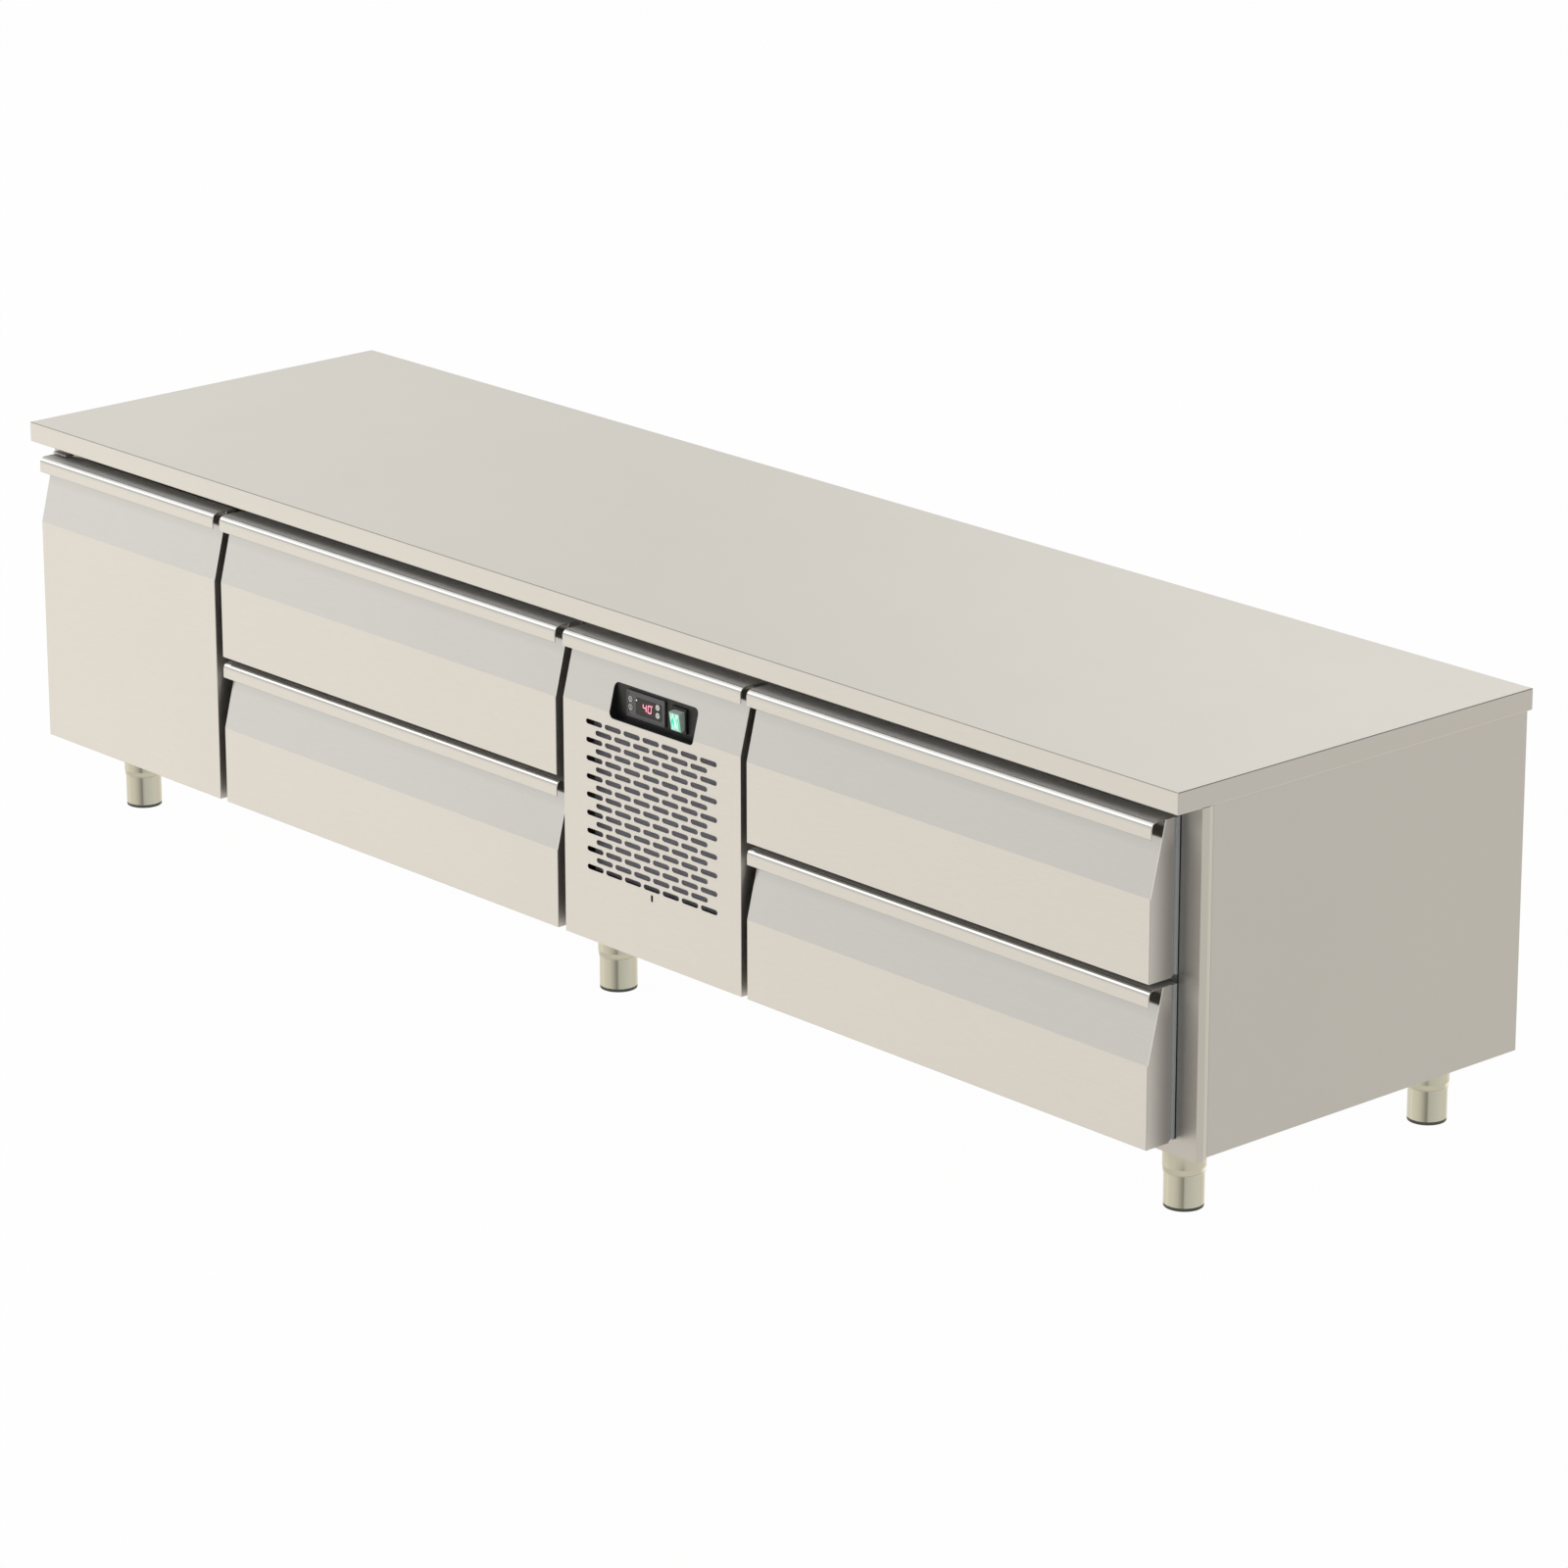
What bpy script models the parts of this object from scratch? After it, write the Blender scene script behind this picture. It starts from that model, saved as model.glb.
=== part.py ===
"""Refrigerated chef base: a low counter on six legs with a hinged door, four drawers and a compressor bay.

Metres, +Z up, the fronts face -Y and +X runs to the right. The origin is on the floor, under the middle
of the whole box.
"""

import math

import bmesh
import bpy
from mathutils import Matrix, Vector

# Worktop and body
worktop_depth = 0.700
worktop_edge = 0.0318
edge_round = 0.0012
edge_return = 0.018
overhang_channel_depth = 0.022
front_proud = 0.0105
back_overhang = 0.009
body_height = 0.5046
leg_height = 0.1115
sheet = 0.0015
fit = 0.0003
cut_over = 0.010
merge_share = 0.01
pin_segments = 12
small_round_segments = 10
hole_segments = 32

# Widths of the fronts, from left to right, and the dark reveals between them
end_margin = 0.038
door_width = 0.4575
door_reveal = 0.0163
drawer_width = 0.810
bay_left_reveal = 0.0175
bay_width = 0.3915
bay_right_reveal = 0.0125

# Heights of the fronts on the body
top_reveal = 0.0173
bottom_reveal = 0.0216
drawer_gap = 0.0091

# Folded front: upright face, face sloping back behind the fingers, top flange, rolled nose and lip
slope_rise = 0.1071
bay_slope_rise = 0.1030
handle_depth = 0.0268
lip_height = 0.0244
nose_radius = 0.0105
nose_segments = 6
front_thickness = 0.0437
front_edge_round = 0.0006

# Gaskets
gasket_depth = 0.0125
seal_gap = 0.0010
gasket_inset = 0.0020
gasket_width = 0.0160
gasket_lip = 0.0030
door_gasket_inset = 0.0120
door_gasket_width = 0.0110

# Front frame and insulated walls
frame_thickness = 0.0225
corner_strip = 0.0140
corner_joggle = 0.0085
side_recess = 0.0015
side_lift = 0.0020
landing = 0.0240
back_thickness = 0.0500

# Rear of the compressor bay
vent_inset = 0.0200
vent_slot_length = 0.1200
vent_slot_height = 0.0080
vent_slot_pitch = 0.0240
vent_columns = 2
vent_rows = 12

# Telescopic slides, measured from the wall they hang on, and up and down from their middle
slide_depth = 0.0150
channel_depth = 0.0100
channel_half = 0.0220
channel_flange = 0.0020
channel_lip = 0.0030
channel_lip_depth = 0.0015
channel_web = 0.0010
rail_root = 0.0020
rail_setback = 0.0010
middle_start = 0.0030
middle_web = 0.0015
middle_half = channel_half - channel_flange - fit
middle_flange_half = 0.0165
middle_end = 0.0135
inner_start = 0.0065
inner_half = middle_flange_half - middle_web - fit
inner_stem_half = 0.0110
slide_back_clearance = 0.0240

# Drawer frames, open below so that pans hang in them
basket_wall = 0.0020
basket_height = 0.1200
basket_top_clearance = 0.0100
basket_ledge = 0.0180
basket_side_ledge = 0.0430
basket_back_clearance = 0.0600
pan_bar_width = 0.0300
pan_bar_height = 0.0120
drawer_travel = 0.5000
middle_rail_share = 0.5

# Door hinge
pin_inset = 0.0110
pin_from_back = 0.0090
pin_radius = 0.0035
pin_clearance = 0.0004
pin_reach = 0.0100
bracket_thickness = 0.0030
bracket_gap = 0.0020
bracket_nose = 0.0090
bracket_width = 0.0340
bracket_wing = 0.0110

# Shelf of the door compartment
runner_width = 0.0140
runner_thickness = 0.0020
runner_levels = 3
runner_pitch = 0.0950
runner_first = 0.0900
shelf_level = 1
shelf_side_gap = 0.0030
shelf_end_gap = 0.0150
shelf_wire = 0.0030
shelf_rim = 0.0040
shelf_wires = 11
shelf_crossbars = 3

# Grille of the compressor bay
slot_length = 0.0370
slot_height = 0.0080
slot_pitch = 0.0421
row_pitch = 0.0140
grille_rows = 17
slots_in_long_row = 7
grille_drop = 0.0245
slot_end_segments = 3
key_slot_width = 0.0046
key_slot_height = 0.0110
key_slot_drop = 0.0145
key_slot_corner_share = 0.45

# Control recess
recess_width = 0.1852
recess_centre_x = 0.0008
recess_above_fold = 0.0456
recess_below_fold = 0.0084
recess_corner = 0.0090
tray_margin = 0.0080
tray_sheet = 0.0020
corner_segments = 5
controller_width = 0.0840
controller_height = 0.0405
controller_proud = 0.0037
controller_centre_x = -0.0234
controller_above_fold = 0.0193
controller_bevel = 0.0012
controller_window_depth = 0.0010
controller_window_width = 0.0780
controller_window_height = 0.0345
controller_body_width = 0.0710
controller_body_height = 0.0290
controller_body_depth = 0.0520
key_radius = 0.0045
key_proud = 0.0008
key_length = 0.0026
key_travel = 0.0005
key_clearance = 0.0003
key_columns = (-0.0331, 0.0265)
key_rows = (0.0070, -0.0051)
switch_width = 0.0324
switch_height = 0.0372
switch_proud = 0.0035
switch_wall = 0.0030
switch_centre_x = 0.0498
switch_above_fold = 0.0188
switch_body_depth = 0.0250
switch_body_inset = 0.0025
rocker_side_gap = 0.0020
rocker_depth = 0.0090
rocker_pivot_depth = 0.0040
rocker_proud = 0.0075
rocker_dip = 0.0012
rocker_end_gap = 0.0012
rocker_angle = math.radians(9)
rocker_pin_radius = 0.0015

# Condenser, fan and compressor
condenser_setback = 0.0135
condenser_half_width = 0.1420
condenser_depth = 0.0430
condenser_height = 0.2405
condenser_below_fold = 0.0175
end_plate = 0.0020
end_plate_proud = 0.0015
shroud_depth = 0.0520
shroud_wall = 0.0020
shroud_hole_clearance = 0.0050
fan_radius = 0.1000
fan_hub_radius = 0.0260
fan_hub_depth = 0.0340
fan_blades = 5
fan_blade_thickness = 0.0020
fan_blade_depth = 0.0300
fan_blade_spread_share = 0.62
fan_hub_nose_share = 0.9
fan_hub_shoulder_share = 0.42
fan_blade_root_share = 0.8
fan_root_chord_share = 0.7
fan_tip_chord_share = 1.0
fan_sweep_share = 0.25
fan_tip_pitch_share = 0.55
fan_blade_stations = 3
motor_radius = 0.0330
motor_depth = 0.0500
motor_gap = 0.0008
motor_shaft_radius = 0.0040
motor_arm_width = 0.0060
motor_arm_depth = 0.0040
motor_arm_offset = 0.0060
motor_arms = 3
motor_post_radius = 0.0040
motor_post_over = 0.0010
motor_post_clearance = 0.0010
compressor_radius = 0.0800
compressor_length_share = 1.25
compressor_height = 0.1750
compressor_setback = 0.2600
compressor_waist = 0.0040
compressor_foot_height = 0.0180
compressor_base_thickness = 0.0040
compressor_base_margin = 0.0200
compressor_foot_radius = 0.0110
compressor_foot_inset_x = 0.0176
compressor_foot_inset_y = 0.0132
compressor_crown_shares = ((0.55, 0.08), (0.85, 0.30))
compressor_shoulder_share = 0.62
compressor_base_shares = ((0.80, 0.10), (0.50, 0.0))
compressor_skirt_share = 0.40
terminal_box_root_share = 0.7
compressor_box_width = 0.0500
compressor_box_height = 0.0600
compressor_box_depth = 0.0350

# Evaporator of the door compartment
evaporator_side_gap = 0.0200
evaporator_height = 0.1100
evaporator_depth = 0.2400
evaporator_wall = 0.0015
evaporator_fan_radius = 0.0430
evaporator_hub_radius = 0.0150
evaporator_hub_depth = 0.0200
evaporator_blade_depth = 0.0160
evaporator_hole_clearance = 0.0030
evaporator_motor_radius = 0.0180
evaporator_motor_depth = 0.0300
evaporator_coil_depth = 0.1000
evaporator_coil_share = 0.8
evaporator_back_margin = 0.0100
evaporator_coil_gap = 0.0100
return_slots = 6
return_slot_width = 0.0200
return_slot_length = 0.0600

# Legs
leg_end_inset = 0.1007
leg_front_inset = 0.0812
leg_back_inset = 0.0717
leg_flange_radius = 0.0400
leg_flange_thickness = 0.0030
sleeve_radius = 0.0307
sleeve_neck_radius = 0.0297
sleeve_crimp_share = 0.67
sleeve_neck_height = 0.0100
sleeve_bottom = 0.0515
foot_radius = 0.0286
foot_pad_radius = 0.0281
foot_pad_height = 0.0046
foot_pad_round = 0.0010
foot_top_gap = 0.0020
leg_segments = 24

# Places along X
fronts_width = door_width + 2 * drawer_width + bay_width
reveals_width = door_reveal + bay_left_reveal + bay_right_reveal
worktop_length = 2 * end_margin + fronts_width + reveals_width
right_end = worktop_length / 2
left_end = -right_end
door_left = left_end + end_margin
door_right = door_left + door_width
left_bank_left = door_right + door_reveal
left_bank_right = left_bank_left + drawer_width
bay_left = left_bank_right + bay_left_reveal
bay_right = bay_left + bay_width
right_bank_left = bay_right + bay_right_reveal
right_bank_right = right_bank_left + drawer_width
bay_middle = (bay_left + bay_right) / 2

# Places along Y
overall_depth = worktop_depth + front_proud
front_y = -overall_depth / 2
worktop_front = front_y + front_proud
worktop_back = overall_depth / 2
front_back = front_y + front_thickness
frame_front = front_back + gasket_depth + seal_gap
frame_back = frame_front + frame_thickness
inside_front = frame_back + fit
body_back = worktop_back - back_overhang
inner_back = body_back - back_thickness

# Places along Z
body_bottom = leg_height
body_top = body_bottom + body_height
worktop_top = body_top + worktop_edge
fronts_top = body_top - top_reveal
fronts_bottom = body_bottom + bottom_reveal
drawer_height = (fronts_top - fronts_bottom - drawer_gap) / 2
drawer_levels = {
    "upper": (fronts_top - drawer_height, fronts_top),
    "lower": (fronts_bottom, fronts_bottom + drawer_height),
}
opening_bottom = fronts_bottom + landing
opening_top = fronts_top - landing
bay_fold = fronts_top - bay_slope_rise


def clear_scene():
    for obj in list(bpy.data.objects):
        bpy.data.objects.remove(obj, do_unlink=True)


def material(name, colour, roughness, metallic):
    made = bpy.data.materials.new(name)
    made.use_nodes = True
    shader = made.node_tree.nodes["Principled BSDF"]
    shader.inputs["Base Color"].default_value = (*colour, 1.0)
    shader.inputs["Roughness"].default_value = roughness
    shader.inputs["Metallic"].default_value = metallic
    return made


def make_materials():
    return {
        "stainless": material("stainless", (0.70, 0.68, 0.63), 0.35, 1.0),
        "side_steel": material("side_steel", (0.52, 0.50, 0.46), 0.40, 1.0),
        "leg_steel": material("leg_steel", (0.58, 0.55, 0.44), 0.25, 1.0),
        "liner": material("liner", (0.60, 0.60, 0.58), 0.45, 1.0),
        "rail_steel": material("rail_steel", (0.50, 0.50, 0.50), 0.40, 1.0),
        "gasket": material("gasket", (0.22, 0.24, 0.25), 0.60, 0.0),
        "black_plastic": material("black_plastic", (0.015, 0.015, 0.017), 0.40, 0.0),
        "key_plastic": material("key_plastic", (0.75, 0.76, 0.78), 0.45, 0.0),
        "green_plastic": material("green_plastic", (0.10, 0.75, 0.45), 0.25, 0.0),
        "fins": material("fins", (0.12, 0.12, 0.14), 0.55, 1.0),
        "painted_black": material("painted_black", (0.03, 0.03, 0.03), 0.35, 0.0),
        "fan_plastic": material("fan_plastic", (0.05, 0.05, 0.055), 0.50, 0.0),
        "zinc": material("zinc", (0.45, 0.46, 0.47), 0.45, 1.0),
    }


def add_object(bm, name, surface=None, origin=(0, 0, 0)):
    """Turn a mesh given in world places into an object whose origin is the point given."""
    place = Vector(origin)
    bmesh.ops.remove_doubles(bm, verts=bm.verts[:], dist=fit * merge_share)
    bmesh.ops.recalc_face_normals(bm, faces=bm.faces[:])
    bmesh.ops.translate(bm, verts=bm.verts[:], vec=-place)
    mesh = bpy.data.meshes.new(name)
    bm.to_mesh(mesh)
    bm.free()
    obj = bpy.data.objects.new(name, mesh)
    obj.location = place
    bpy.context.scene.collection.objects.link(obj)
    if surface:
        mesh.materials.append(surface)
    return obj


def make_helper(obj):
    obj.hide_render = True
    obj.display_type = "WIRE"
    return obj


def cut(target, cutter):
    modifier = target.modifiers.new("cut_" + cutter.name, "BOOLEAN")
    modifier.object = make_helper(cutter)
    modifier.operation = "DIFFERENCE"
    modifier.solver = "EXACT"


def unite(target, other):
    modifier = target.modifiers.new("with_" + other.name, "BOOLEAN")
    modifier.object = make_helper(other)
    modifier.operation = "UNION"
    modifier.solver = "EXACT"


def round_shading(obj, degrees=40):
    obj.data.shade_smooth()
    obj.data.set_sharp_from_angle(angle=math.radians(degrees))


def add_prism(bm, outline, low, high, place):
    """Extrude a closed outline of (a, b) points from low to high. place turns (a, b, c) into a point."""
    bottom = [bm.verts.new(place(a, b, low)) for a, b in outline]
    top = [bm.verts.new(place(a, b, high)) for a, b in outline]
    bm.faces.new(bottom)
    bm.faces.new(top)
    for i in range(len(outline)):
        j = (i + 1) % len(outline)
        bm.faces.new((bottom[i], bottom[j], top[j], top[i]))


def along_x(y, z, x):
    return (x, y, z)


def along_y(x, z, y):
    return (x, y, z)


def along_z(x, y, z):
    return (x, y, z)


def prism(name, outline, low, high, place, surface=None, origin=(0, 0, 0)):
    bm = bmesh.new()
    add_prism(bm, outline, low, high, place)
    return add_object(bm, name, surface, origin)


def add_box(bm, x, y, z):
    outline = ((x[0], y[0]), (x[1], y[0]), (x[1], y[1]), (x[0], y[1]))
    add_prism(bm, outline, z[0], z[1], along_z)


def box(name, x, y, z, surface=None, origin=(0, 0, 0)):
    bm = bmesh.new()
    add_box(bm, x, y, z)
    return add_object(bm, name, surface, origin)


def add_ring(bm, a, b, profile, place, side_insets=None):
    """Sweep a closed profile of (inset, height) points round a rectangle, with mitred corners.
    side_insets gives the two sides at the ends of a other insets than the profile's."""
    loops = []
    for right, top in ((False, False), (True, False), (True, True), (False, True)):
        loop = []
        for i, (inset, height) in enumerate(profile):
            side_inset = side_insets[i] if side_insets else inset
            corner_a = a[1] - side_inset if right else a[0] + side_inset
            corner_b = b[1] - inset if top else b[0] + inset
            loop.append(bm.verts.new(place(corner_a, corner_b, height)))
        loops.append(loop)
    for i in range(4):
        here, there = loops[i], loops[(i + 1) % 4]
        for k in range(len(profile)):
            after = (k + 1) % len(profile)
            bm.faces.new((here[k], here[after], there[after], there[k]))


def add_turned(bm, profile, centre, segments, direction="Z"):
    """Turn a profile of (radius, height) points about an upright or +Y axis. Both ends lie on the axis."""
    rings = []
    for radius, height in profile:
        ring = []
        for i in range(segments if radius > 0 else 1):
            angle = 2 * math.pi * i / segments
            u, v = radius * math.cos(angle), radius * math.sin(angle)
            point = (u, v, height) if direction == "Z" else (u, height, v)
            ring.append(bm.verts.new(Vector(centre) + Vector(point)))
        rings.append(ring)
    for ring, below in zip(rings, rings[1:]):
        for i in range(segments):
            j = (i + 1) % segments
            corners = [ring[i % len(ring)], ring[j % len(ring)], below[j % len(below)], below[i % len(below)]]
            bm.faces.new(list(dict.fromkeys(corners)))


def turned(name, profile, centre, segments, surface=None, origin=(0, 0, 0), direction="Z"):
    bm = bmesh.new()
    add_turned(bm, profile, centre, segments, direction)
    return add_object(bm, name, surface, origin)


def rod(name, radius, low, high, centre, segments, direction, surface=None):
    profile = ((0, low), (radius, low), (radius, high), (0, high))
    return turned(name, profile, centre, segments, surface, direction=direction)


def turned_pin(name, radius, x, centre):
    """Round pin along X."""
    outline = []
    for i in range(pin_segments):
        angle = 2 * math.pi * i / pin_segments
        outline.append((centre[0] + radius * math.cos(angle), centre[1] + radius * math.sin(angle)))
    return prism(name, outline, *x, along_x)


def rounded_rectangle(a, b, radius, segments):
    """Points of a rectangle with round corners, from its lower left corner round."""
    corners = (
        (a[0] + radius, b[0] + radius, 180),
        (a[1] - radius, b[0] + radius, 270),
        (a[1] - radius, b[1] - radius, 0),
        (a[0] + radius, b[1] - radius, 90),
    )
    points = []
    for centre_a, centre_b, start in corners:
        for i in range(segments + 1):
            angle = math.radians(start + 90 * i / segments)
            points.append((centre_a + radius * math.cos(angle), centre_b + radius * math.sin(angle)))
    return points


def front_outline(bottom, top, rise, back):
    """Side view of a folded front: upright face, sloping face, flange, rolled nose and lip, then the back."""
    nose_y = front_y + nose_radius
    nose_z = top - nose_radius
    points = [(front_y, bottom), (front_y, top - rise), (front_y + handle_depth, top - sheet)]
    for radius, order in (
        (nose_radius - sheet, range(nose_segments + 1)),
        (nose_radius, range(nose_segments, -1, -1)),
    ):
        for i in order:
            angle = math.radians(90 + 90 * i / nose_segments)
            points.append((nose_y + radius * math.cos(angle), nose_z + radius * math.sin(angle)))
        if radius < nose_radius:
            points += [(front_y + sheet, top - lip_height), (front_y, top - lip_height)]
    points += [(back, top), (back, bottom)]
    return points


def make_front(name, left, right, bottom, top, surface, origin=(0, 0, 0)):
    outline = front_outline(bottom, top, slope_rise, front_back)
    front = prism(name, outline, left, right, along_x, surface, origin)
    bevel = front.modifiers.new("folded_edges", "BEVEL")
    bevel.width = front_edge_round
    bevel.segments = 1
    bevel.limit_method = "ANGLE"
    bevel.angle_limit = math.radians(60)
    round_shading(front)
    return front


def make_gasket(name, x, z, inset, width, surface, origin=(0, 0, 0)):
    """Magnetic seal: a flat foot against the front, a drawn-in bellows, and a wide lip towards the frame."""
    start = front_back + fit
    end = start + gasket_depth - fit
    waist_low = start + gasket_lip
    waist_high = end - gasket_lip
    profile = (
        (0, start),
        (width, start),
        (width, waist_low),
        (width - gasket_lip, (waist_low + waist_high) / 2),
        (width, waist_high),
        (width, end),
        (0, end),
        (0, waist_high),
        (gasket_lip / 2, (waist_low + waist_high) / 2),
        (0, waist_low),
    )
    bm = bmesh.new()
    add_ring(bm, (x[0] + inset, x[1] - inset), (z[0] + inset, z[1] - inset), profile, along_y)
    return add_object(bm, name, surface, origin)


def make_worktop(surface):
    """Top sheet folded down round a core board. Its front edge returns under the overhang as a channel."""
    depth, height = (worktop_front, worktop_back), (body_top, worktop_top)
    top = box("worktop", (left_end, right_end), depth, height, surface)
    channel = box(
        "worktop_channel_cutter",
        (left_end + edge_return, right_end - edge_return),
        (worktop_front + edge_return, frame_front),
        (body_top - cut_over, body_top + overhang_channel_depth),
    )
    bevel = top.modifiers.new("folded_edges", "BEVEL")
    bevel.width = edge_round
    bevel.segments = 2
    bevel.limit_method = "ANGLE"
    cut(top, channel)
    return top


def make_front_frame(surface):
    """Welded frame behind the fronts. Its ends turn the corners with a strip and a joggle."""
    strip_end = frame_front + corner_strip
    joggle_end = strip_end + corner_joggle
    low_x, high_x = left_end, right_end
    outline = (
        (low_x, frame_front),
        (high_x, frame_front),
        (high_x, strip_end),
        (high_x - side_recess, joggle_end),
        (low_x + side_recess, joggle_end),
        (low_x, strip_end),
    )
    frame = prism("front_frame", outline, body_bottom, body_top - fit, along_z, surface)
    bm = bmesh.new()
    through = (frame_front - cut_over, joggle_end + cut_over)
    for left, right in ((door_left, door_right), (bay_left, bay_right)):
        add_box(bm, (left + landing, right - landing), through, (opening_bottom, opening_top))
    for left, right in ((left_bank_left, left_bank_right), (right_bank_left, right_bank_right)):
        for bottom, top in drawer_levels.values():
            add_box(bm, (left + landing, right - landing), through, (bottom + landing, top - landing))
    cut(frame, add_object(bm, "frame_opening_cutter"))
    return frame


def slide_middle(level):
    """Height of the middle of a drawer's slides."""
    bottom, top = drawer_levels[level]
    return top - landing - basket_top_clearance - basket_height / 2


def channel_outline(side, face, height):
    """Section in X and Z of the fixed channel of one slide, rooted in the wall it hangs on. side is +1 if the
    drawer lies towards +X of the wall."""
    inner = channel_half - channel_flange
    tip = inner - channel_lip
    half = (
        (-rail_root, channel_half),
        (channel_depth, channel_half),
        (channel_depth, tip),
        (channel_depth - channel_lip_depth, tip),
        (channel_depth - channel_lip_depth, inner),
        (channel_web, inner),
    )
    upper = [(face + side * u, height + v) for u, v in half]
    lower = [(face + side * u, height - v) for u, v in reversed(half)]
    return upper + lower


def slide_channels(side, face):
    return [channel_outline(side, face, slide_middle(level)) for level in drawer_levels]


def runner_height(level):
    return opening_bottom + runner_first + level * runner_pitch


def shelf_runners(side, face):
    """Sections in X and Z of the shelf runners on one face of the door compartment."""
    sections = []
    for level in range(runner_levels):
        top = runner_height(level)
        bottom = top - runner_thickness
        root, tip = face - side * rail_root, face + side * runner_width
        sections.append([(root, top), (tip, top), (tip, bottom), (root, bottom)])
    return sections


def make_wall(name, x, y, z, sections, surface):
    """Foamed wall with the channels or runners that hang on it."""
    wall = box(name, x, y, z, surface)
    for i, outline in enumerate(sections):
        span = (inside_front + rail_setback, inner_back - rail_setback)
        unite(wall, prism(name + "_rail_" + str(i), outline, *span, along_y))
    return wall


def make_walls(surfaces):
    """Two side walls the full depth of the body, and three dividers between floor and ceiling."""
    deep = (inside_front, body_back)
    tall = (body_bottom + side_lift, body_top - fit)
    face = door_left + landing
    rails = shelf_runners(1, face)
    make_wall("left_side_wall", (left_end + side_recess, face), deep, tall, rails, surfaces["side_steel"])
    face = right_bank_right - landing
    rails = slide_channels(-1, face)
    make_wall("right_side_wall", (face, right_end - side_recess), deep, tall, rails, surfaces["side_steel"])
    deep = (inside_front, inner_back - fit)
    tall = (opening_bottom + fit, opening_top - fit)
    left, right = door_right - landing, left_bank_left + landing
    rails = shelf_runners(-1, left) + slide_channels(1, right)
    make_wall("door_divider", (left, right), deep, tall, rails, surfaces["liner"])
    left, right = left_bank_right - landing, bay_left + landing
    make_wall("bay_left_divider", (left, right), deep, tall, slide_channels(-1, left), surfaces["liner"])
    left, right = bay_right - landing, right_bank_left + landing
    make_wall("bay_right_divider", (left, right), deep, tall, slide_channels(1, right), surfaces["liner"])


def vent_opening():
    """The hole in the back of the compressor bay, in X and in Z."""
    across = (bay_left + landing + vent_inset, bay_right - landing - vent_inset)
    upright = (opening_bottom + vent_inset, opening_top - vent_inset)
    return across, upright


def make_tub(surface):
    """Foamed floor, back and ceiling in one piece, between the side walls. The bay is open at the back."""
    left = door_left + landing + fit
    right = right_bank_right - landing - fit
    outline = (
        (inside_front, body_bottom + side_lift),
        (body_back, body_bottom + side_lift),
        (body_back, body_top - fit),
        (inside_front, body_top - fit),
        (inside_front, opening_top),
        (inner_back, opening_top),
        (inner_back, opening_bottom),
        (inside_front, opening_bottom),
    )
    tub = prism("insulated_tub", outline, left, right, along_x, surface)
    across, upright = vent_opening()
    cut(tub, box("tub_vent_cutter", across, (inner_back - cut_over, body_back + cut_over), upright))
    return tub


def make_rear_vent(surface):
    """Sheet cover with rows of slots over the back of the compressor bay, folded in round its edge."""
    across, upright = vent_opening()
    x = (across[0] + fit, across[1] - fit)
    z = (upright[0] + fit, upright[1] - fit)
    cover = box("rear_vent_cover", x, (body_back - edge_return, body_back), z, surface)
    bm = bmesh.new()
    add_box(bm, (x[0] + sheet, x[1] - sheet), (inner_back, body_back - sheet), (z[0] + sheet, z[1] - sheet))
    middle_x, middle_z = sum(x) / 2, sum(z) / 2
    column_pitch = (x[1] - x[0]) / vent_columns
    for column in range(vent_columns):
        centre_x = middle_x + (column - (vent_columns - 1) / 2) * column_pitch
        for row in range(vent_rows):
            centre_z = middle_z + (row - (vent_rows - 1) / 2) * vent_slot_pitch
            add_box(
                bm,
                (centre_x - vent_slot_length / 2, centre_x + vent_slot_length / 2),
                (body_back - sheet - fit, body_back + cut_over),
                (centre_z - vent_slot_height / 2, centre_z + vent_slot_height / 2),
            )
    cut(cover, add_object(bm, "rear_vent_cutter"))
    return cover


def leg_places():
    front = frame_front + leg_front_inset
    back = body_back - leg_back_inset
    columns = (("left", left_end + leg_end_inset), ("middle", 0), ("right", right_end - leg_end_inset))
    return {side + "_" + row: (x, y) for side, x in columns for row, y in (("front", front), ("rear", back))}


def make_legs(surface):
    """Each leg is a fixed sleeve with a necked mouth, and a foot that slides out of it."""
    top = body_bottom + side_lift - fit
    bore = foot_radius + fit
    closed_above = top - leg_flange_thickness
    neck_top = sleeve_bottom + sleeve_neck_height
    sleeve_crimp_radius = sleeve_neck_radius + (sleeve_radius - sleeve_neck_radius) * sleeve_crimp_share
    sleeve_profile = (
        (0, top),
        (leg_flange_radius, top),
        (leg_flange_radius, closed_above),
        (sleeve_radius, closed_above),
        (sleeve_radius, neck_top),
        (sleeve_crimp_radius, sleeve_bottom + sleeve_neck_height / 2),
        (sleeve_neck_radius, sleeve_bottom + fit),
        (bore, sleeve_bottom),
        (bore, closed_above),
        (0, closed_above),
    )
    foot_top = closed_above - foot_top_gap
    foot_profile = (
        (0, foot_top),
        (foot_radius, foot_top),
        (foot_radius, foot_pad_height),
        (foot_pad_radius, foot_pad_height - fit),
        (foot_pad_radius, foot_pad_round),
        (foot_pad_radius - foot_pad_round, 0),
        (0, 0),
    )
    for name, (x, y) in leg_places().items():
        sleeve = turned("leg_sleeve_" + name, sleeve_profile, (x, y, 0), leg_segments, surface)
        foot = turned("foot_" + name, foot_profile, (x, y, 0), leg_segments, surface, origin=(x, y, 0))
        round_shading(sleeve)
        round_shading(foot)


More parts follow.
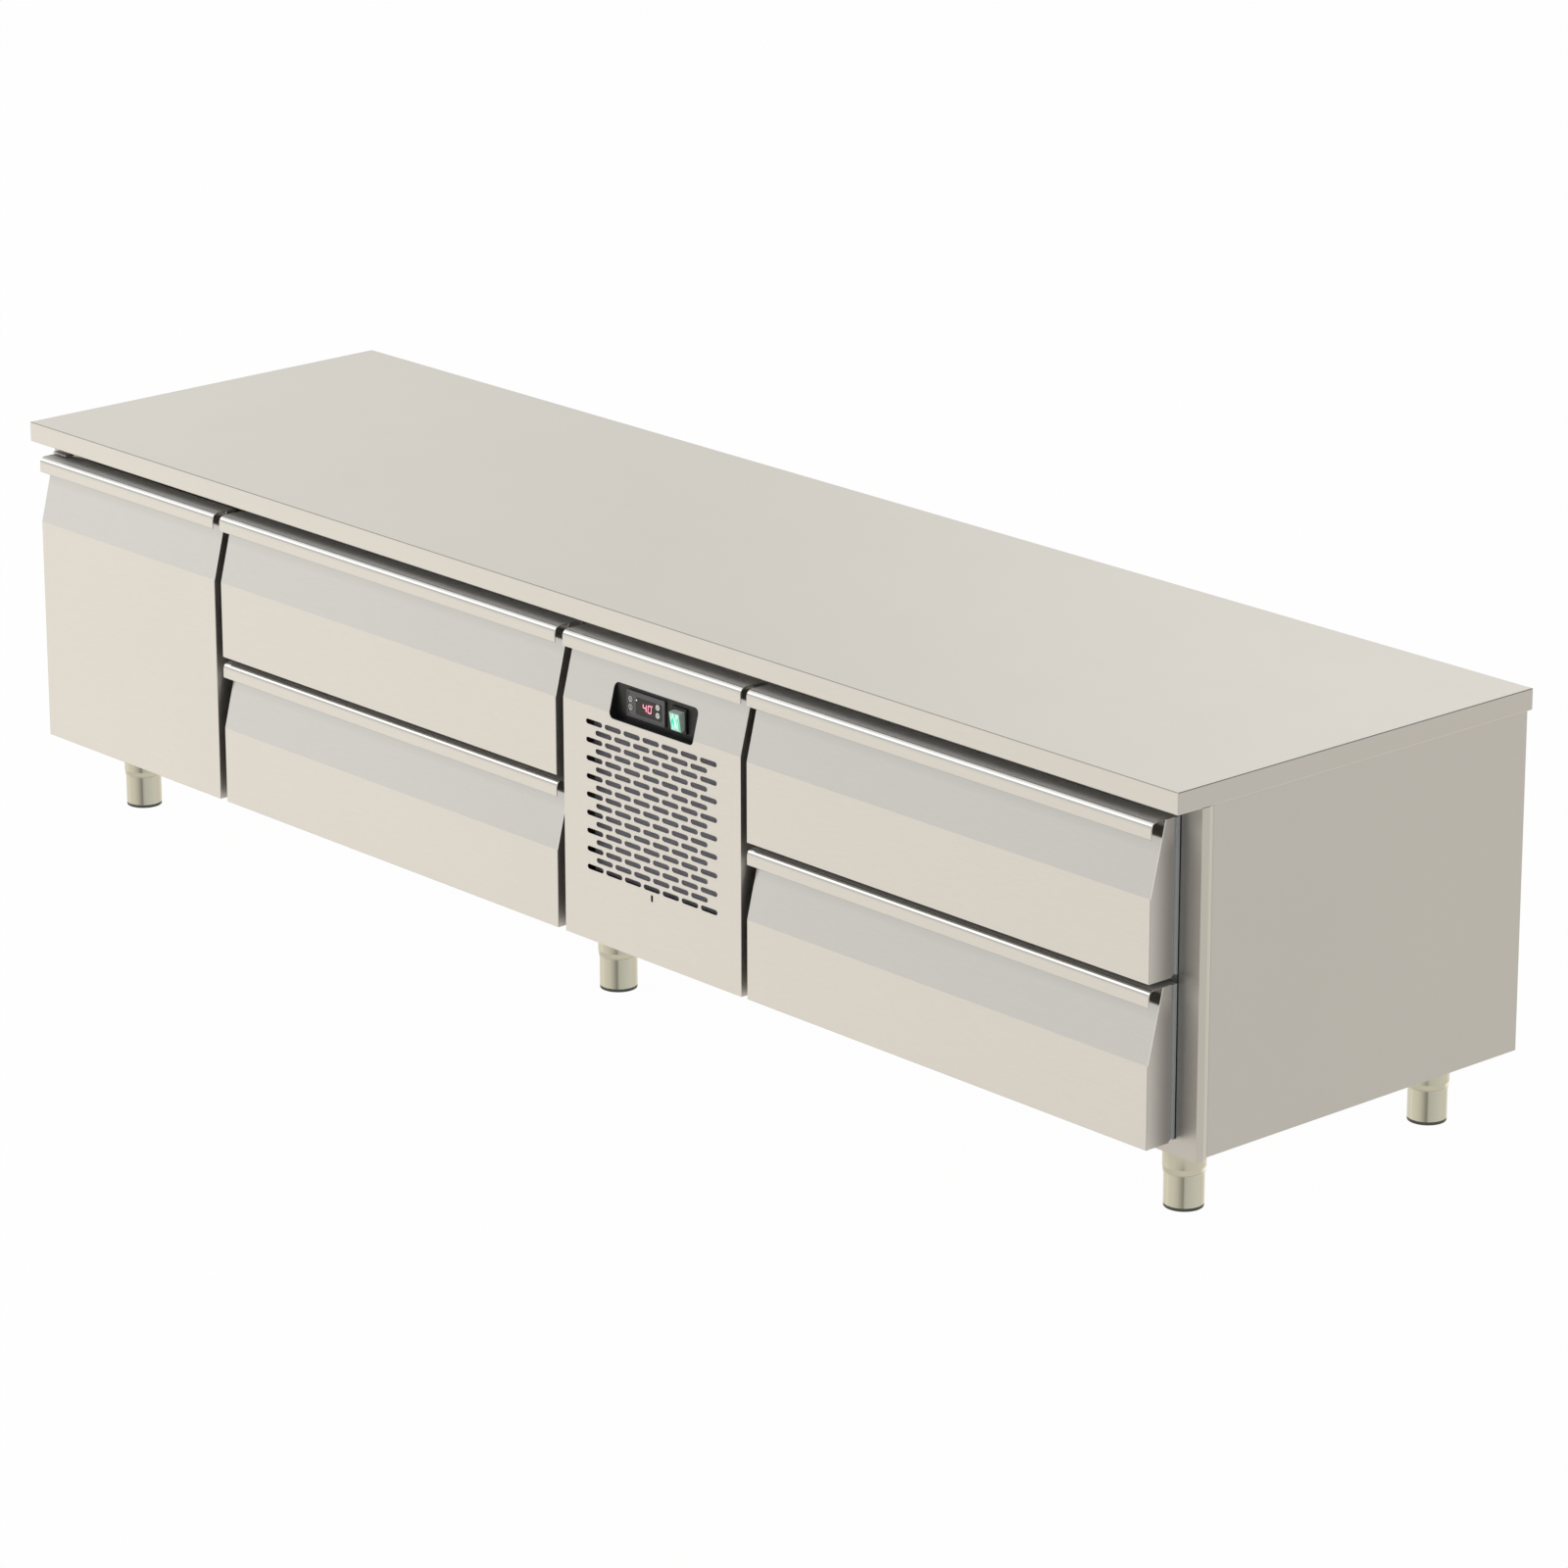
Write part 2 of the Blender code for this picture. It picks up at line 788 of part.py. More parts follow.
def middle_rail_outline(side, face, height):
    """Section of the middle member: the fixed channel holds its web, and its lips hold the drawer's rail."""
    inner = middle_flange_half - middle_web
    tip = (inner + inner_stem_half) / 2
    web_end = middle_start + middle_web
    half = (
        (middle_start, middle_half),
        (web_end, middle_half),
        (web_end, middle_flange_half),
        (middle_end, middle_flange_half),
        (middle_end, tip),
        (middle_end - middle_web, tip),
        (middle_end - middle_web, inner),
        (web_end, inner),
    )
    upper = [(face + side * u, height + v) for u, v in half]
    lower = [(face + side * u, height - v) for u, v in reversed(half)]
    return upper + lower


def inner_rail_outline(side, face, height):
    """Section of the drawer's own rail: a flat held by the middle member, on a stem to the drawer's side."""
    web_end = inner_start + middle_web
    stem_end = slide_depth + basket_wall / 2
    half = (
        (inner_start, inner_half),
        (web_end, inner_half),
        (web_end, inner_stem_half),
        (stem_end, inner_stem_half),
    )
    upper = [(face + side * u, height + v) for u, v in half]
    lower = [(face + side * u, height - v) for u, v in reversed(half)]
    return upper + lower


def make_basket(name, left_face, right_face, level, surface, origin):
    """Drawer frame: walls with a ledge at the top for pan rims, a bar between the pans, two inner rails."""
    x = (left_face + slide_depth, right_face - slide_depth)
    y = (front_back + fit, inner_back - basket_back_clearance)
    top = drawer_levels[level][1] - landing - basket_top_clearance
    bottom = top - basket_height
    profile = (
        (0, bottom),
        (basket_wall, bottom),
        (basket_wall, top - basket_wall),
        (basket_ledge, top - basket_wall),
        (basket_ledge, top),
        (0, top),
    )
    side_insets = [basket_side_ledge if inset == basket_ledge else inset for inset, height in profile]
    bm = bmesh.new()
    add_ring(bm, x, y, profile, along_z, side_insets)
    basket = add_object(bm, name, surface, origin)
    middle = sum(x) / 2
    bar = box(
        name + "_bar",
        (middle - pan_bar_width / 2, middle + pan_bar_width / 2),
        (y[0] + basket_wall / 2, y[1] - basket_wall / 2),
        (top - pan_bar_height, top),
    )
    unite(basket, bar)
    height = slide_middle(level)
    for side, face, word in ((1, left_face, "_left_rail"), (-1, right_face, "_right_rail")):
        outline = inner_rail_outline(side, face, height)
        unite(basket, prism(name + word, outline, inside_front, y[1], along_y))
    return basket


def make_drawer(bank, level, left, right, surfaces):
    """One drawer: folded front, gasket, frame for pans, and the middle members of its two slides."""
    name = bank + "_" + level
    bottom, top = drawer_levels[level]
    origin = ((left + right) / 2, front_y, bottom)
    make_front(name + "_drawer_front", left, right, bottom, top, surfaces["stainless"], origin)
    gasket = name + "_drawer_gasket"
    make_gasket(gasket, (left, right), (bottom, top), gasket_inset, gasket_width, surfaces["gasket"], origin)
    left_face, right_face = left + landing, right - landing
    make_basket(name + "_drawer_frame", left_face, right_face, level, surfaces["liner"], origin)
    for side, face, word in ((1, left_face, "left"), (-1, right_face, "right")):
        outline = middle_rail_outline(side, face, slide_middle(level))
        start, end = inside_front, inner_back - slide_back_clearance
        rail_origin = (face, start, slide_middle(level))
        prism(name + "_slide_" + word, outline, start, end, along_y, surfaces["rail_steel"], rail_origin)


def make_hinge_bracket(name, plate_low, pin_end, wing, surface):
    """Angle on the front frame that reaches out over or under the door, with the pivot pin that enters it."""
    pin_x = door_left + pin_inset
    pin_y = front_back - pin_from_back
    x = (pin_x - bracket_nose, pin_x - bracket_nose + bracket_width)
    plate = (plate_low, plate_low + bracket_thickness)
    bracket = box(name, x, (pin_y - bracket_nose, frame_front - fit), plate, surface)
    unite(bracket, box(name + "_wing", x, (frame_front - fit - bracket_thickness, frame_front - fit), wing))
    span = (min(plate_low + bracket_thickness / 2, pin_end), max(plate_low + bracket_thickness / 2, pin_end))
    unite(bracket, rod(name + "_pin", pin_radius, *span, (pin_x, pin_y, 0), pin_segments, "Z"))
    return bracket


def make_door(surfaces):
    """Full-height door that turns on two pins near its left edge."""
    pin_x = door_left + pin_inset
    pin_y = front_back - pin_from_back
    origin = (pin_x, pin_y, fronts_bottom)
    steel = surfaces["stainless"]
    door = make_front("door_front", door_left, door_right, fronts_bottom, fronts_top, steel, origin)
    bore = pin_radius + pin_clearance
    depth = pin_reach + bracket_gap
    for word, low, high in (
        ("lower", fronts_bottom - cut_over, fronts_bottom + depth),
        ("upper", fronts_top - depth, fronts_top + cut_over),
    ):
        cut(door, rod("door_" + word + "_bore_cutter", bore, low, high, (pin_x, pin_y, 0), pin_segments, "Z"))
    x, z = (door_left, door_right), (fronts_bottom, fronts_top)
    make_gasket("door_gasket", x, z, door_gasket_inset, door_gasket_width, surfaces["gasket"], origin)
    upper_plate = fronts_top + bracket_gap
    make_hinge_bracket(
        "upper_hinge_bracket",
        upper_plate,
        fronts_top - pin_reach,
        (upper_plate, upper_plate + bracket_wing),
        surfaces["zinc"],
    )
    lower_plate = fronts_bottom - bracket_gap - bracket_thickness
    lower_top = lower_plate + bracket_thickness
    make_hinge_bracket(
        "lower_hinge_bracket",
        lower_plate,
        fronts_bottom + pin_reach,
        (lower_top - bracket_wing, lower_top),
        surfaces["zinc"],
    )


def make_shelf(surface):
    """Wire shelf on the runners: a square rim, wires from front to back, and bars across below them."""
    x = (door_left + landing + shelf_side_gap, door_right - landing - shelf_side_gap)
    y = (inside_front + shelf_end_gap, inner_back - shelf_end_gap)
    base = runner_height(shelf_level) + fit
    rim = ((0, base), (shelf_rim, base), (shelf_rim, base + shelf_rim), (0, base + shelf_rim))
    bm = bmesh.new()
    add_ring(bm, x, y, rim, along_z)
    shelf = add_object(bm, "shelf", surface)
    wires = bmesh.new()
    bars = bmesh.new()
    centre = base + shelf_rim / 2
    half = shelf_wire / 2
    for i in range(shelf_wires):
        middle = x[0] + (x[1] - x[0]) * (i + 1) / (shelf_wires + 1)
        span = (y[0] + shelf_rim / 2, y[1] - shelf_rim / 2)
        add_box(wires, (middle - half, middle + half), span, (centre - half, centre + half))
    for i in range(shelf_crossbars):
        middle = y[0] + (y[1] - y[0]) * (i + 1) / (shelf_crossbars + 1)
        span = (x[0] + shelf_rim / 2, x[1] - shelf_rim / 2)
        add_box(bars, span, (middle - half, middle + half), (base + fit, centre))
    unite(shelf, add_object(wires, "shelf_wires"))
    unite(shelf, add_object(bars, "shelf_crossbars"))
    return shelf


def slot_outline(centre_x, centre_z):
    """Oblong hole with round ends, in X and Z."""
    radius = slot_height / 2
    reach = slot_length / 2 - radius
    points = []
    for side, start in ((1, -90), (-1, 90)):
        for i in range(slot_end_segments + 1):
            angle = math.radians(start + 180 * i / slot_end_segments)
            along = side * reach + radius * math.cos(angle)
            points.append((centre_x + along, centre_z + radius * math.sin(angle)))
    return points


def make_grille_cutter():
    """Rows of slots, every other row one slot shorter and half a pitch along, and the latch slot below."""
    bm = bmesh.new()
    through = (front_y - cut_over, front_y + cut_over)
    first = bay_fold - grille_drop
    for row in range(grille_rows):
        count = slots_in_long_row - row % 2
        for column in range(count):
            centre_x = bay_middle + (column - (count - 1) / 2) * slot_pitch
            add_prism(bm, slot_outline(centre_x, first - row * row_pitch), *through, along_y)
    latch_z = first - (grille_rows - 1) * row_pitch - key_slot_drop
    x = (bay_middle - key_slot_width / 2, bay_middle + key_slot_width / 2)
    z = (latch_z - key_slot_height / 2, latch_z + key_slot_height / 2)
    latch = rounded_rectangle(x, z, key_slot_width * key_slot_corner_share, 2)
    add_prism(bm, latch, *through, along_y)
    return add_object(bm, "grille_cutter")


def recess_outline():
    middle = bay_middle + recess_centre_x
    x = (middle - recess_width / 2, middle + recess_width / 2)
    z = (bay_fold - recess_below_fold, bay_fold + recess_above_fold)
    return rounded_rectangle(x, z, recess_corner, corner_segments)


def sloping_y(height, offset):
    """Y of the bay panel's sloping face at a height, moved back by an offset square to it."""
    rise = bay_slope_rise - sheet
    lean = (height - bay_fold) / rise * handle_depth
    return front_y + lean + offset * math.hypot(rise, handle_depth) / rise


def control_floor():
    """Y of the upright plate that carries the controls, which starts under the sloping face."""
    return sloping_y(bay_fold + recess_above_fold, sheet + fit) + fit


def make_bay_panel(surface):
    """Folded sheet front of the compressor bay, open at the back, with the grille and the control cut-out."""
    back = frame_front - fit
    outline = front_outline(fronts_bottom, fronts_top, bay_slope_rise, back)
    panel = prism("compressor_panel", outline, bay_left, bay_right, along_x, surface)
    inner_top = fronts_top - sheet
    fold = bay_fold + sheet * handle_depth / bay_slope_rise
    pocket = (
        (front_y + sheet, fronts_bottom + sheet),
        (back + cut_over, fronts_bottom + sheet),
        (back + cut_over, inner_top),
        (sloping_y(inner_top, sheet), inner_top),
        (sloping_y(fold, sheet), fold),
        (front_y + sheet, bay_fold - sheet / 2),
    )
    cut(panel, prism("panel_pocket_cutter", pocket, bay_left + sheet, bay_right - sheet, along_x))
    cut(panel, make_grille_cutter())
    through = (front_y - cut_over, control_floor() + cut_over)
    cut(panel, prism("panel_recess_cutter", recess_outline(), *through, along_y))
    round_shading(panel, 30)
    return panel


def make_control_tray(surface):
    """Black tray behind the cut-out: an upright floor, walls up to the folded sheet, and a sloping flange."""
    gap = sheet + fit
    top = bay_fold + recess_above_fold + tray_margin
    bottom = bay_fold - recess_below_fold - tray_margin
    floor = control_floor()
    back = floor + tray_sheet
    bend = bay_fold + recess_above_fold
    outline = (
        (front_y + gap, bottom),
        (front_y + gap, bay_fold - gap / 2),
        (sloping_y(bay_fold, gap), bay_fold),
        (sloping_y(top, gap), top),
        (sloping_y(top, gap + tray_sheet), top),
        (back, bend),
        (back, bottom),
    )
    middle = bay_middle + recess_centre_x
    half = recess_width / 2 + tray_margin
    tray = prism("control_tray", outline, middle - half, middle + half, along_x, surface)
    cut(tray, prism("tray_pocket_cutter", recess_outline(), front_y - cut_over, floor, along_y))
    bm = bmesh.new()
    through = (floor - cut_over, back + cut_over)
    for middle_x, middle_z, width, height in (
        (
            bay_middle + controller_centre_x,
            bay_fold + controller_above_fold,
            controller_body_width,
            controller_body_height,
        ),
        (
            bay_middle + switch_centre_x,
            bay_fold + switch_above_fold,
            switch_width - 2 * switch_body_inset,
            switch_height - 2 * switch_body_inset,
        ),
    ):
        x = (middle_x - width / 2 - fit, middle_x + width / 2 + fit)
        z = (middle_z - height / 2 - fit, middle_z + height / 2 + fit)
        add_box(bm, x, through, z)
    cut(tray, add_object(bm, "tray_hole_cutter"))
    return tray


def make_controller(surfaces):
    """Panel controller: bevelled bezel, sunk window, four round keys and the body behind the tray."""
    middle_x = bay_middle + controller_centre_x
    middle_z = bay_fold + controller_above_fold
    floor = control_floor()
    face = floor - controller_proud
    x = (middle_x - controller_width / 2, middle_x + controller_width / 2)
    z = (middle_z - controller_height / 2, middle_z + controller_height / 2)
    housing = box("controller_housing", x, (face, floor - fit), z, surfaces["black_plastic"])
    bevel = housing.modifiers.new("bezel_edge", "BEVEL")
    bevel.width = controller_bevel
    bevel.segments = 2
    bevel.limit_method = "ANGLE"
    body = box(
        "controller_body",
        (middle_x - controller_body_width / 2, middle_x + controller_body_width / 2),
        (floor - controller_proud / 2, floor + controller_body_depth),
        (middle_z - controller_body_height / 2, middle_z + controller_body_height / 2),
    )
    unite(housing, body)
    bm = bmesh.new()
    window_x = (middle_x - controller_window_width / 2, middle_x + controller_window_width / 2)
    window_z = (middle_z - controller_window_height / 2, middle_z + controller_window_height / 2)
    add_box(bm, window_x, (face - cut_over, face + controller_window_depth), window_z)
    cut(housing, add_object(bm, "controller_window_cutter"))
    bores = bmesh.new()
    key_face = face + controller_window_depth - key_proud
    key_back = key_face + key_length
    for i, key_x in enumerate(key_columns):
        for j, key_z in enumerate(key_rows):
            centre = (middle_x + key_x, 0, middle_z + key_z)
            bore = key_radius + key_clearance
            floor_y = key_back + key_travel + key_clearance
            add_turned(
                bores,
                ((0, face - cut_over), (bore, face - cut_over), (bore, floor_y), (0, floor_y)),
                centre,
                pin_segments,
                "Y",
            )
            name = ("left" if i == 0 else "right") + ("_upper" if j == 0 else "_lower") + "_key"
            profile = (
                (0, key_face),
                (key_radius - key_clearance, key_face),
                (key_radius, key_face + key_clearance),
                (key_radius, key_back),
                (0, key_back),
            )
            origin = (centre[0], key_face, centre[2])
            key = turned(name, profile, centre, pin_segments, surfaces["key_plastic"], origin, "Y")
            round_shading(key)
    cut(housing, add_object(bores, "key_bore_cutter"))


def make_switch(surfaces):
    """Lit rocker switch: a frame with its body behind the tray, and the rocker that tips on a cross axis."""
    middle_x = bay_middle + switch_centre_x
    middle_z = bay_fold + switch_above_fold
    floor = control_floor()
    face = floor - switch_proud
    x = (middle_x - switch_width / 2, middle_x + switch_width / 2)
    z = (middle_z - switch_height / 2, middle_z + switch_height / 2)
    housing = box("switch_housing", x, (face, floor - fit), z, surfaces["black_plastic"])
    inset = switch_body_inset
    body_x = (x[0] + inset, x[1] - inset)
    body_z = (z[0] + inset, z[1] - inset)
    unite(housing, box("switch_body", body_x, (face + switch_proud / 2, floor + switch_body_depth), body_z))
    well_x = (x[0] + switch_wall, x[1] - switch_wall)
    well_z = (z[0] + switch_wall, z[1] - switch_wall)
    cut(housing, box("switch_well_cutter", well_x, (face - cut_over, face + rocker_depth), well_z))
    half = (well_z[1] - well_z[0]) / 2 - rocker_end_gap
    pivot = face + rocker_pivot_depth
    thickness = rocker_depth - rocker_pivot_depth - rocker_end_gap
    outline = (
        (face - rocker_proud, middle_z - half),
        (face - rocker_proud + rocker_dip, middle_z),
        (face - rocker_proud, middle_z + half),
        (pivot, middle_z + half),
        (pivot + thickness, middle_z),
        (pivot, middle_z - half),
    )
    rocker_x = (well_x[0] + rocker_side_gap, well_x[1] - rocker_side_gap)
    origin = (middle_x, pivot, middle_z)
    rocker = prism("switch_rocker", outline, *rocker_x, along_x, surfaces["green_plastic"], origin)
    lit_side_in = Matrix.Rotation(rocker_angle, 3, "X")
    rocker.data.transform(lit_side_in.to_4x4())
    reach = (well_x[0] + fit, well_x[1] - fit)
    pin = turned_pin("rocker_pin", rocker_pin_radius, reach, (pivot, middle_z))
    unite(rocker, pin)
    return rocker


def add_blade(bm, centre, start, hub_radius, radius, blade_depth):
    """One fan blade from inside the hub to the tip. It twists, widens and sweeps back on its way out."""
    spread = 2 * math.pi / fan_blades * fan_blade_spread_share
    root = hub_radius * fan_blade_root_share
    rows = []
    for i in range(fan_blade_stations):
        share = i / (fan_blade_stations - 1)
        reach = root + (radius - root) * share
        chord = spread * (fan_root_chord_share + (fan_tip_chord_share - fan_root_chord_share) * share)
        pitch = blade_depth * (1 + (fan_tip_pitch_share - 1) * share)
        front_side, back_side = [], []
        for part in (-1, 0, 1):
            angle = start + fan_sweep_share * spread * share + chord * part / 2
            depth = centre[1] + pitch * part / 2
            for corners, side in ((front_side, -1), (back_side, 1)):
                point = (
                    centre[0] + reach * math.cos(angle),
                    depth + side * fan_blade_thickness / 2,
                    centre[2] + reach * math.sin(angle),
                )
                corners.append(bm.verts.new(point))
        rows.append(front_side + back_side[::-1])
    bm.faces.new(rows[0])
    bm.faces.new(rows[-1])
    for row, after in zip(rows, rows[1:]):
        for k in range(len(row)):
            j = (k + 1) % len(row)
            bm.faces.new((row[k], row[j], after[j], after[k]))


def make_fan(name, centre, radius, hub_radius, hub_depth, blade_depth, surface):
    """Axial fan on a +Y axis: a hub with a chamfered nose, and blades whose roots are buried in it."""
    profile = (
        (0, centre[1] - hub_depth / 2),
        (hub_radius * fan_hub_nose_share, centre[1] - hub_depth / 2),
        (hub_radius, centre[1] - hub_depth * fan_hub_shoulder_share),
        (hub_radius, centre[1] + hub_depth / 2),
        (0, centre[1] + hub_depth / 2),
    )
    fan = turned(name, profile, (centre[0], 0, centre[2]), leg_segments, surface, centre, "Y")
    for blade in range(fan_blades):
        bm = bmesh.new()
        add_blade(bm, centre, 2 * math.pi * blade / fan_blades, hub_radius, radius, blade_depth)
        unite(fan, add_object(bm, name + "_blade_" + str(blade)))
    return fan


def add_motor(target, name, centre_x, centre_z, wall, start, radius, depth, reach):
    """Motor behind a fan, on arms to posts that stand on the wall round the fan's opening."""
    axis = (centre_x, 0, centre_z)
    unite(target, rod(name + "_motor", radius, start, start + depth, axis, leg_segments, "Y"))
    arm_start = start + motor_arm_offset
    arm_end = arm_start + motor_arm_depth
    half = motor_arm_width / 2
    for i in range(motor_arms):
        angle = math.radians(90 + 360 * i / motor_arms)
        bm = bmesh.new()
        add_box(bm, (radius / 2, reach), (arm_start, arm_end), (-half, half))
        bmesh.ops.rotate(bm, verts=bm.verts[:], cent=(0, 0, 0), matrix=Matrix.Rotation(-angle, 3, "Y"))
        bmesh.ops.translate(bm, verts=bm.verts[:], vec=(centre_x, 0, centre_z))
        unite(target, add_object(bm, name + "_arm_" + str(i)))
        centre = (centre_x + reach * math.cos(angle), 0, centre_z + reach * math.sin(angle))
        span = (wall, arm_end + motor_post_over)
        post = name + "_post_" + str(i)
        unite(target, rod(post, motor_post_radius, *span, centre, small_round_segments, "Y"))


def make_condenser(surfaces):
    """Finned coil close behind the grille, with a shroud that stands on the floor and carries the motor."""
    top = bay_fold - condenser_below_fold
    bottom = top - condenser_height
    middle_z = (top + bottom) / 2
    x = (bay_middle - condenser_half_width, bay_middle + condenser_half_width)
    coil_front = front_y + condenser_setback
    coil_back = coil_front + condenser_depth
    face = coil_front + end_plate_proud
    outline = (
        (x[0], coil_front),
        (x[0] + end_plate, coil_front),
        (x[0] + end_plate, face),
        (x[1] - end_plate, face),
        (x[1] - end_plate, coil_front),
        (x[1], coil_front),
        (x[1], coil_back),
        (x[0], coil_back),
    )
    condenser = prism("condenser", outline, bottom, top, along_z, surfaces["fins"])
    shroud_back = coil_back + shroud_depth
    shroud_y = (coil_back - fit, shroud_back)
    shroud_z = (opening_bottom + fit, top)
    shroud = box("condenser_shroud", x, shroud_y, shroud_z)
    floor = opening_bottom + fit + shroud_wall
    pocket = (
        (coil_back, bottom + shroud_wall),
        (coil_back, top - shroud_wall),
        (shroud_back - shroud_wall, top - shroud_wall),
        (shroud_back - shroud_wall, floor),
        (coil_back + shroud_wall, floor),
        (coil_back + shroud_wall, bottom + shroud_wall),
    )
    unite(condenser, shroud)
    cut(condenser, prism("shroud_pocket_cutter", pocket, x[0] + shroud_wall, x[1] - shroud_wall, along_x))
    hole = fan_radius + shroud_hole_clearance
    hole_cutter = rod(
        "shroud_hole_cutter",
        hole,
        shroud_back - shroud_wall - fit,
        shroud_back + cut_over,
        (bay_middle, 0, middle_z),
        hole_segments,
        "Y",
    )
    cut(condenser, hole_cutter)
    fan_middle = shroud_back - shroud_wall
    motor_start = fan_middle + fan_hub_depth / 2 + motor_gap
    add_motor(
        condenser,
        "condenser_fan",
        bay_middle,
        middle_z,
        shroud_back - shroud_wall / 2,
        motor_start,
        motor_radius,
        motor_depth,
        hole + motor_post_radius + motor_post_clearance,
    )
    make_fan(
        "condenser_fan",
        (bay_middle, fan_middle, middle_z),
        fan_radius,
        fan_hub_radius,
        fan_hub_depth,
        fan_blade_depth,
        surfaces["fan_plastic"],
    )


def make_compressor(surface):
    """Hermetic compressor: a welded oval can on a pressed base with four feet, and its terminal box."""
    centre_y = front_y + compressor_setback
    floor = opening_bottom + fit
    base = floor + compressor_foot_height
    can_bottom = base + compressor_base_thickness / 2
    crown = can_bottom + compressor_height
    radius = compressor_radius
    waist = (can_bottom + crown) / 2
    waist_low, waist_high = waist - compressor_waist, waist + compressor_waist
    wall = radius - compressor_waist
    profile = [(0, crown)]
    profile += [(radius * out, crown - radius * down) for out, down in compressor_crown_shares]
    profile += [(wall, crown - radius * compressor_shoulder_share), (wall, waist_high), (radius, waist)]
    profile += [(wall, waist_low), (wall, can_bottom + radius * compressor_skirt_share)]
    profile += [(radius * out, can_bottom + radius * up) for out, up in compressor_base_shares]
    profile.append((0, can_bottom))
    can = turned("compressor", profile, (0, 0, 0), leg_segments, surface)
    stretch = Matrix.Diagonal((compressor_length_share, 1, 1, 1))
    can.data.transform(Matrix.Translation((bay_middle, centre_y, 0)) @ stretch)
    half_x = radius * compressor_length_share
    half_y = radius + compressor_base_margin
    plate = rounded_rectangle(
        (bay_middle - half_x, bay_middle + half_x),
        (centre_y - half_y, centre_y + half_y),
        compressor_base_margin,
        2,
    )
    unite(can, prism("compressor_base", plate, base, base + compressor_base_thickness, along_z))
    foot = compressor_foot_radius
    for i, (side_x, side_y) in enumerate(((-1, -1), (1, -1), (1, 1), (-1, 1))):
        centre = (
            bay_middle + side_x * (half_x - compressor_foot_inset_x),
            centre_y + side_y * (half_y - compressor_foot_inset_y),
            0,
        )
        top = base + compressor_base_thickness / 2
        unite(can, rod("compressor_foot_" + str(i), foot, floor, top, centre, small_round_segments, "Z"))
    box_x = (bay_middle - compressor_box_width / 2, bay_middle + compressor_box_width / 2)
    box_y = (centre_y - radius - compressor_box_depth / 2, centre_y - radius * terminal_box_root_share)
    box_z = (waist - compressor_box_height / 2, waist + compressor_box_height / 2)
    unite(can, box("compressor_terminal_box", box_x, box_y, box_z))
    round_shading(can)
    return can


def make_evaporator(surfaces):
    """Evaporator under the ceiling of the door compartment: a sheet case, a fan in its front, slots below."""
    x = (door_left + landing + evaporator_side_gap, door_right - landing - evaporator_side_gap)
    z = (opening_top - fit - evaporator_height, opening_top - fit)
    y = (inner_back - evaporator_depth, inner_back - fit)
    wall = evaporator_wall
    middle_x, middle_z = sum(x) / 2, sum(z) / 2
    case = box("evaporator", x, y, z, surfaces["liner"])
    bm = bmesh.new()
    add_box(bm, (x[0] + wall, x[1] - wall), (y[0] + wall, y[1] - wall), (z[0] + wall, z[1] - wall))
    cut(case, add_object(bm, "evaporator_pocket_cutter"))
    bm = bmesh.new()
    hole = evaporator_fan_radius + evaporator_hole_clearance
    front = ((0, y[0] - cut_over), (hole, y[0] - cut_over), (hole, y[0] + wall + fit), (0, y[0] + wall + fit))
    add_turned(bm, front, (middle_x, 0, middle_z), leg_segments, "Y")
    slot_back = y[1] - evaporator_back_margin
    slot_front = slot_back - return_slot_length
    for i in range(return_slots):
        middle = x[0] + (x[1] - x[0]) * (i + 0.5) / return_slots
        span = (middle - return_slot_width / 2, middle + return_slot_width / 2)
        add_box(bm, span, (slot_front, slot_back), (z[0] - cut_over, z[0] + wall + fit))
    cut(case, add_object(bm, "evaporator_opening_cutter"))
    coil_height = evaporator_height * evaporator_coil_share
    coil_y = (slot_front - evaporator_coil_depth, slot_front - evaporator_coil_gap)
    coil_x = (x[0] + wall / 2, x[1] - wall / 2)
    coil = box("evaporator_coil", coil_x, coil_y, (z[1] - coil_height, z[1] - wall / 2))
    unite(case, coil)
    fan_middle = y[0] + evaporator_hub_depth / 2 + wall
    motor_start = fan_middle + evaporator_hub_depth / 2 + motor_gap
    add_motor(
        case,
        "evaporator_fan",
        middle_x,
        middle_z,
        y[0] + wall / 2,
        motor_start,
        evaporator_motor_radius,
        evaporator_motor_depth,
        hole + motor_post_radius + motor_post_clearance,
    )
    make_fan(
        "evaporator_fan",
        (middle_x, fan_middle, middle_z),
        evaporator_fan_radius,
        evaporator_hub_radius,
        evaporator_hub_depth,
        evaporator_blade_depth,
        surfaces["fan_plastic"],
    )


def main():
    clear_scene()
    surfaces = make_materials()
    make_worktop(surfaces["stainless"])
    make_front_frame(surfaces["stainless"])
    make_walls(surfaces)
    make_tub(surfaces["side_steel"])
    make_rear_vent(surfaces["side_steel"])
    make_legs(surfaces["leg_steel"])
    for bank, left, right in (
        ("left", left_bank_left, left_bank_right),
        ("right", right_bank_left, right_bank_right),
    ):
        for level in drawer_levels:
            make_drawer(bank, level, left, right, surfaces)
    make_door(surfaces)
    make_shelf(surfaces["zinc"])
    make_bay_panel(surfaces["stainless"])
    make_control_tray(surfaces["black_plastic"])
    make_controller(surfaces)
    make_switch(surfaces)
    make_condenser(surfaces)
    make_compressor(surfaces["painted_black"])
    make_evaporator(surfaces)


main()
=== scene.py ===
"""The look of the refrigerated chef base: camera, light, materials and the fine pieces on the solids."""

import math

import bmesh
import bpy
from mathutils import Matrix, Vector


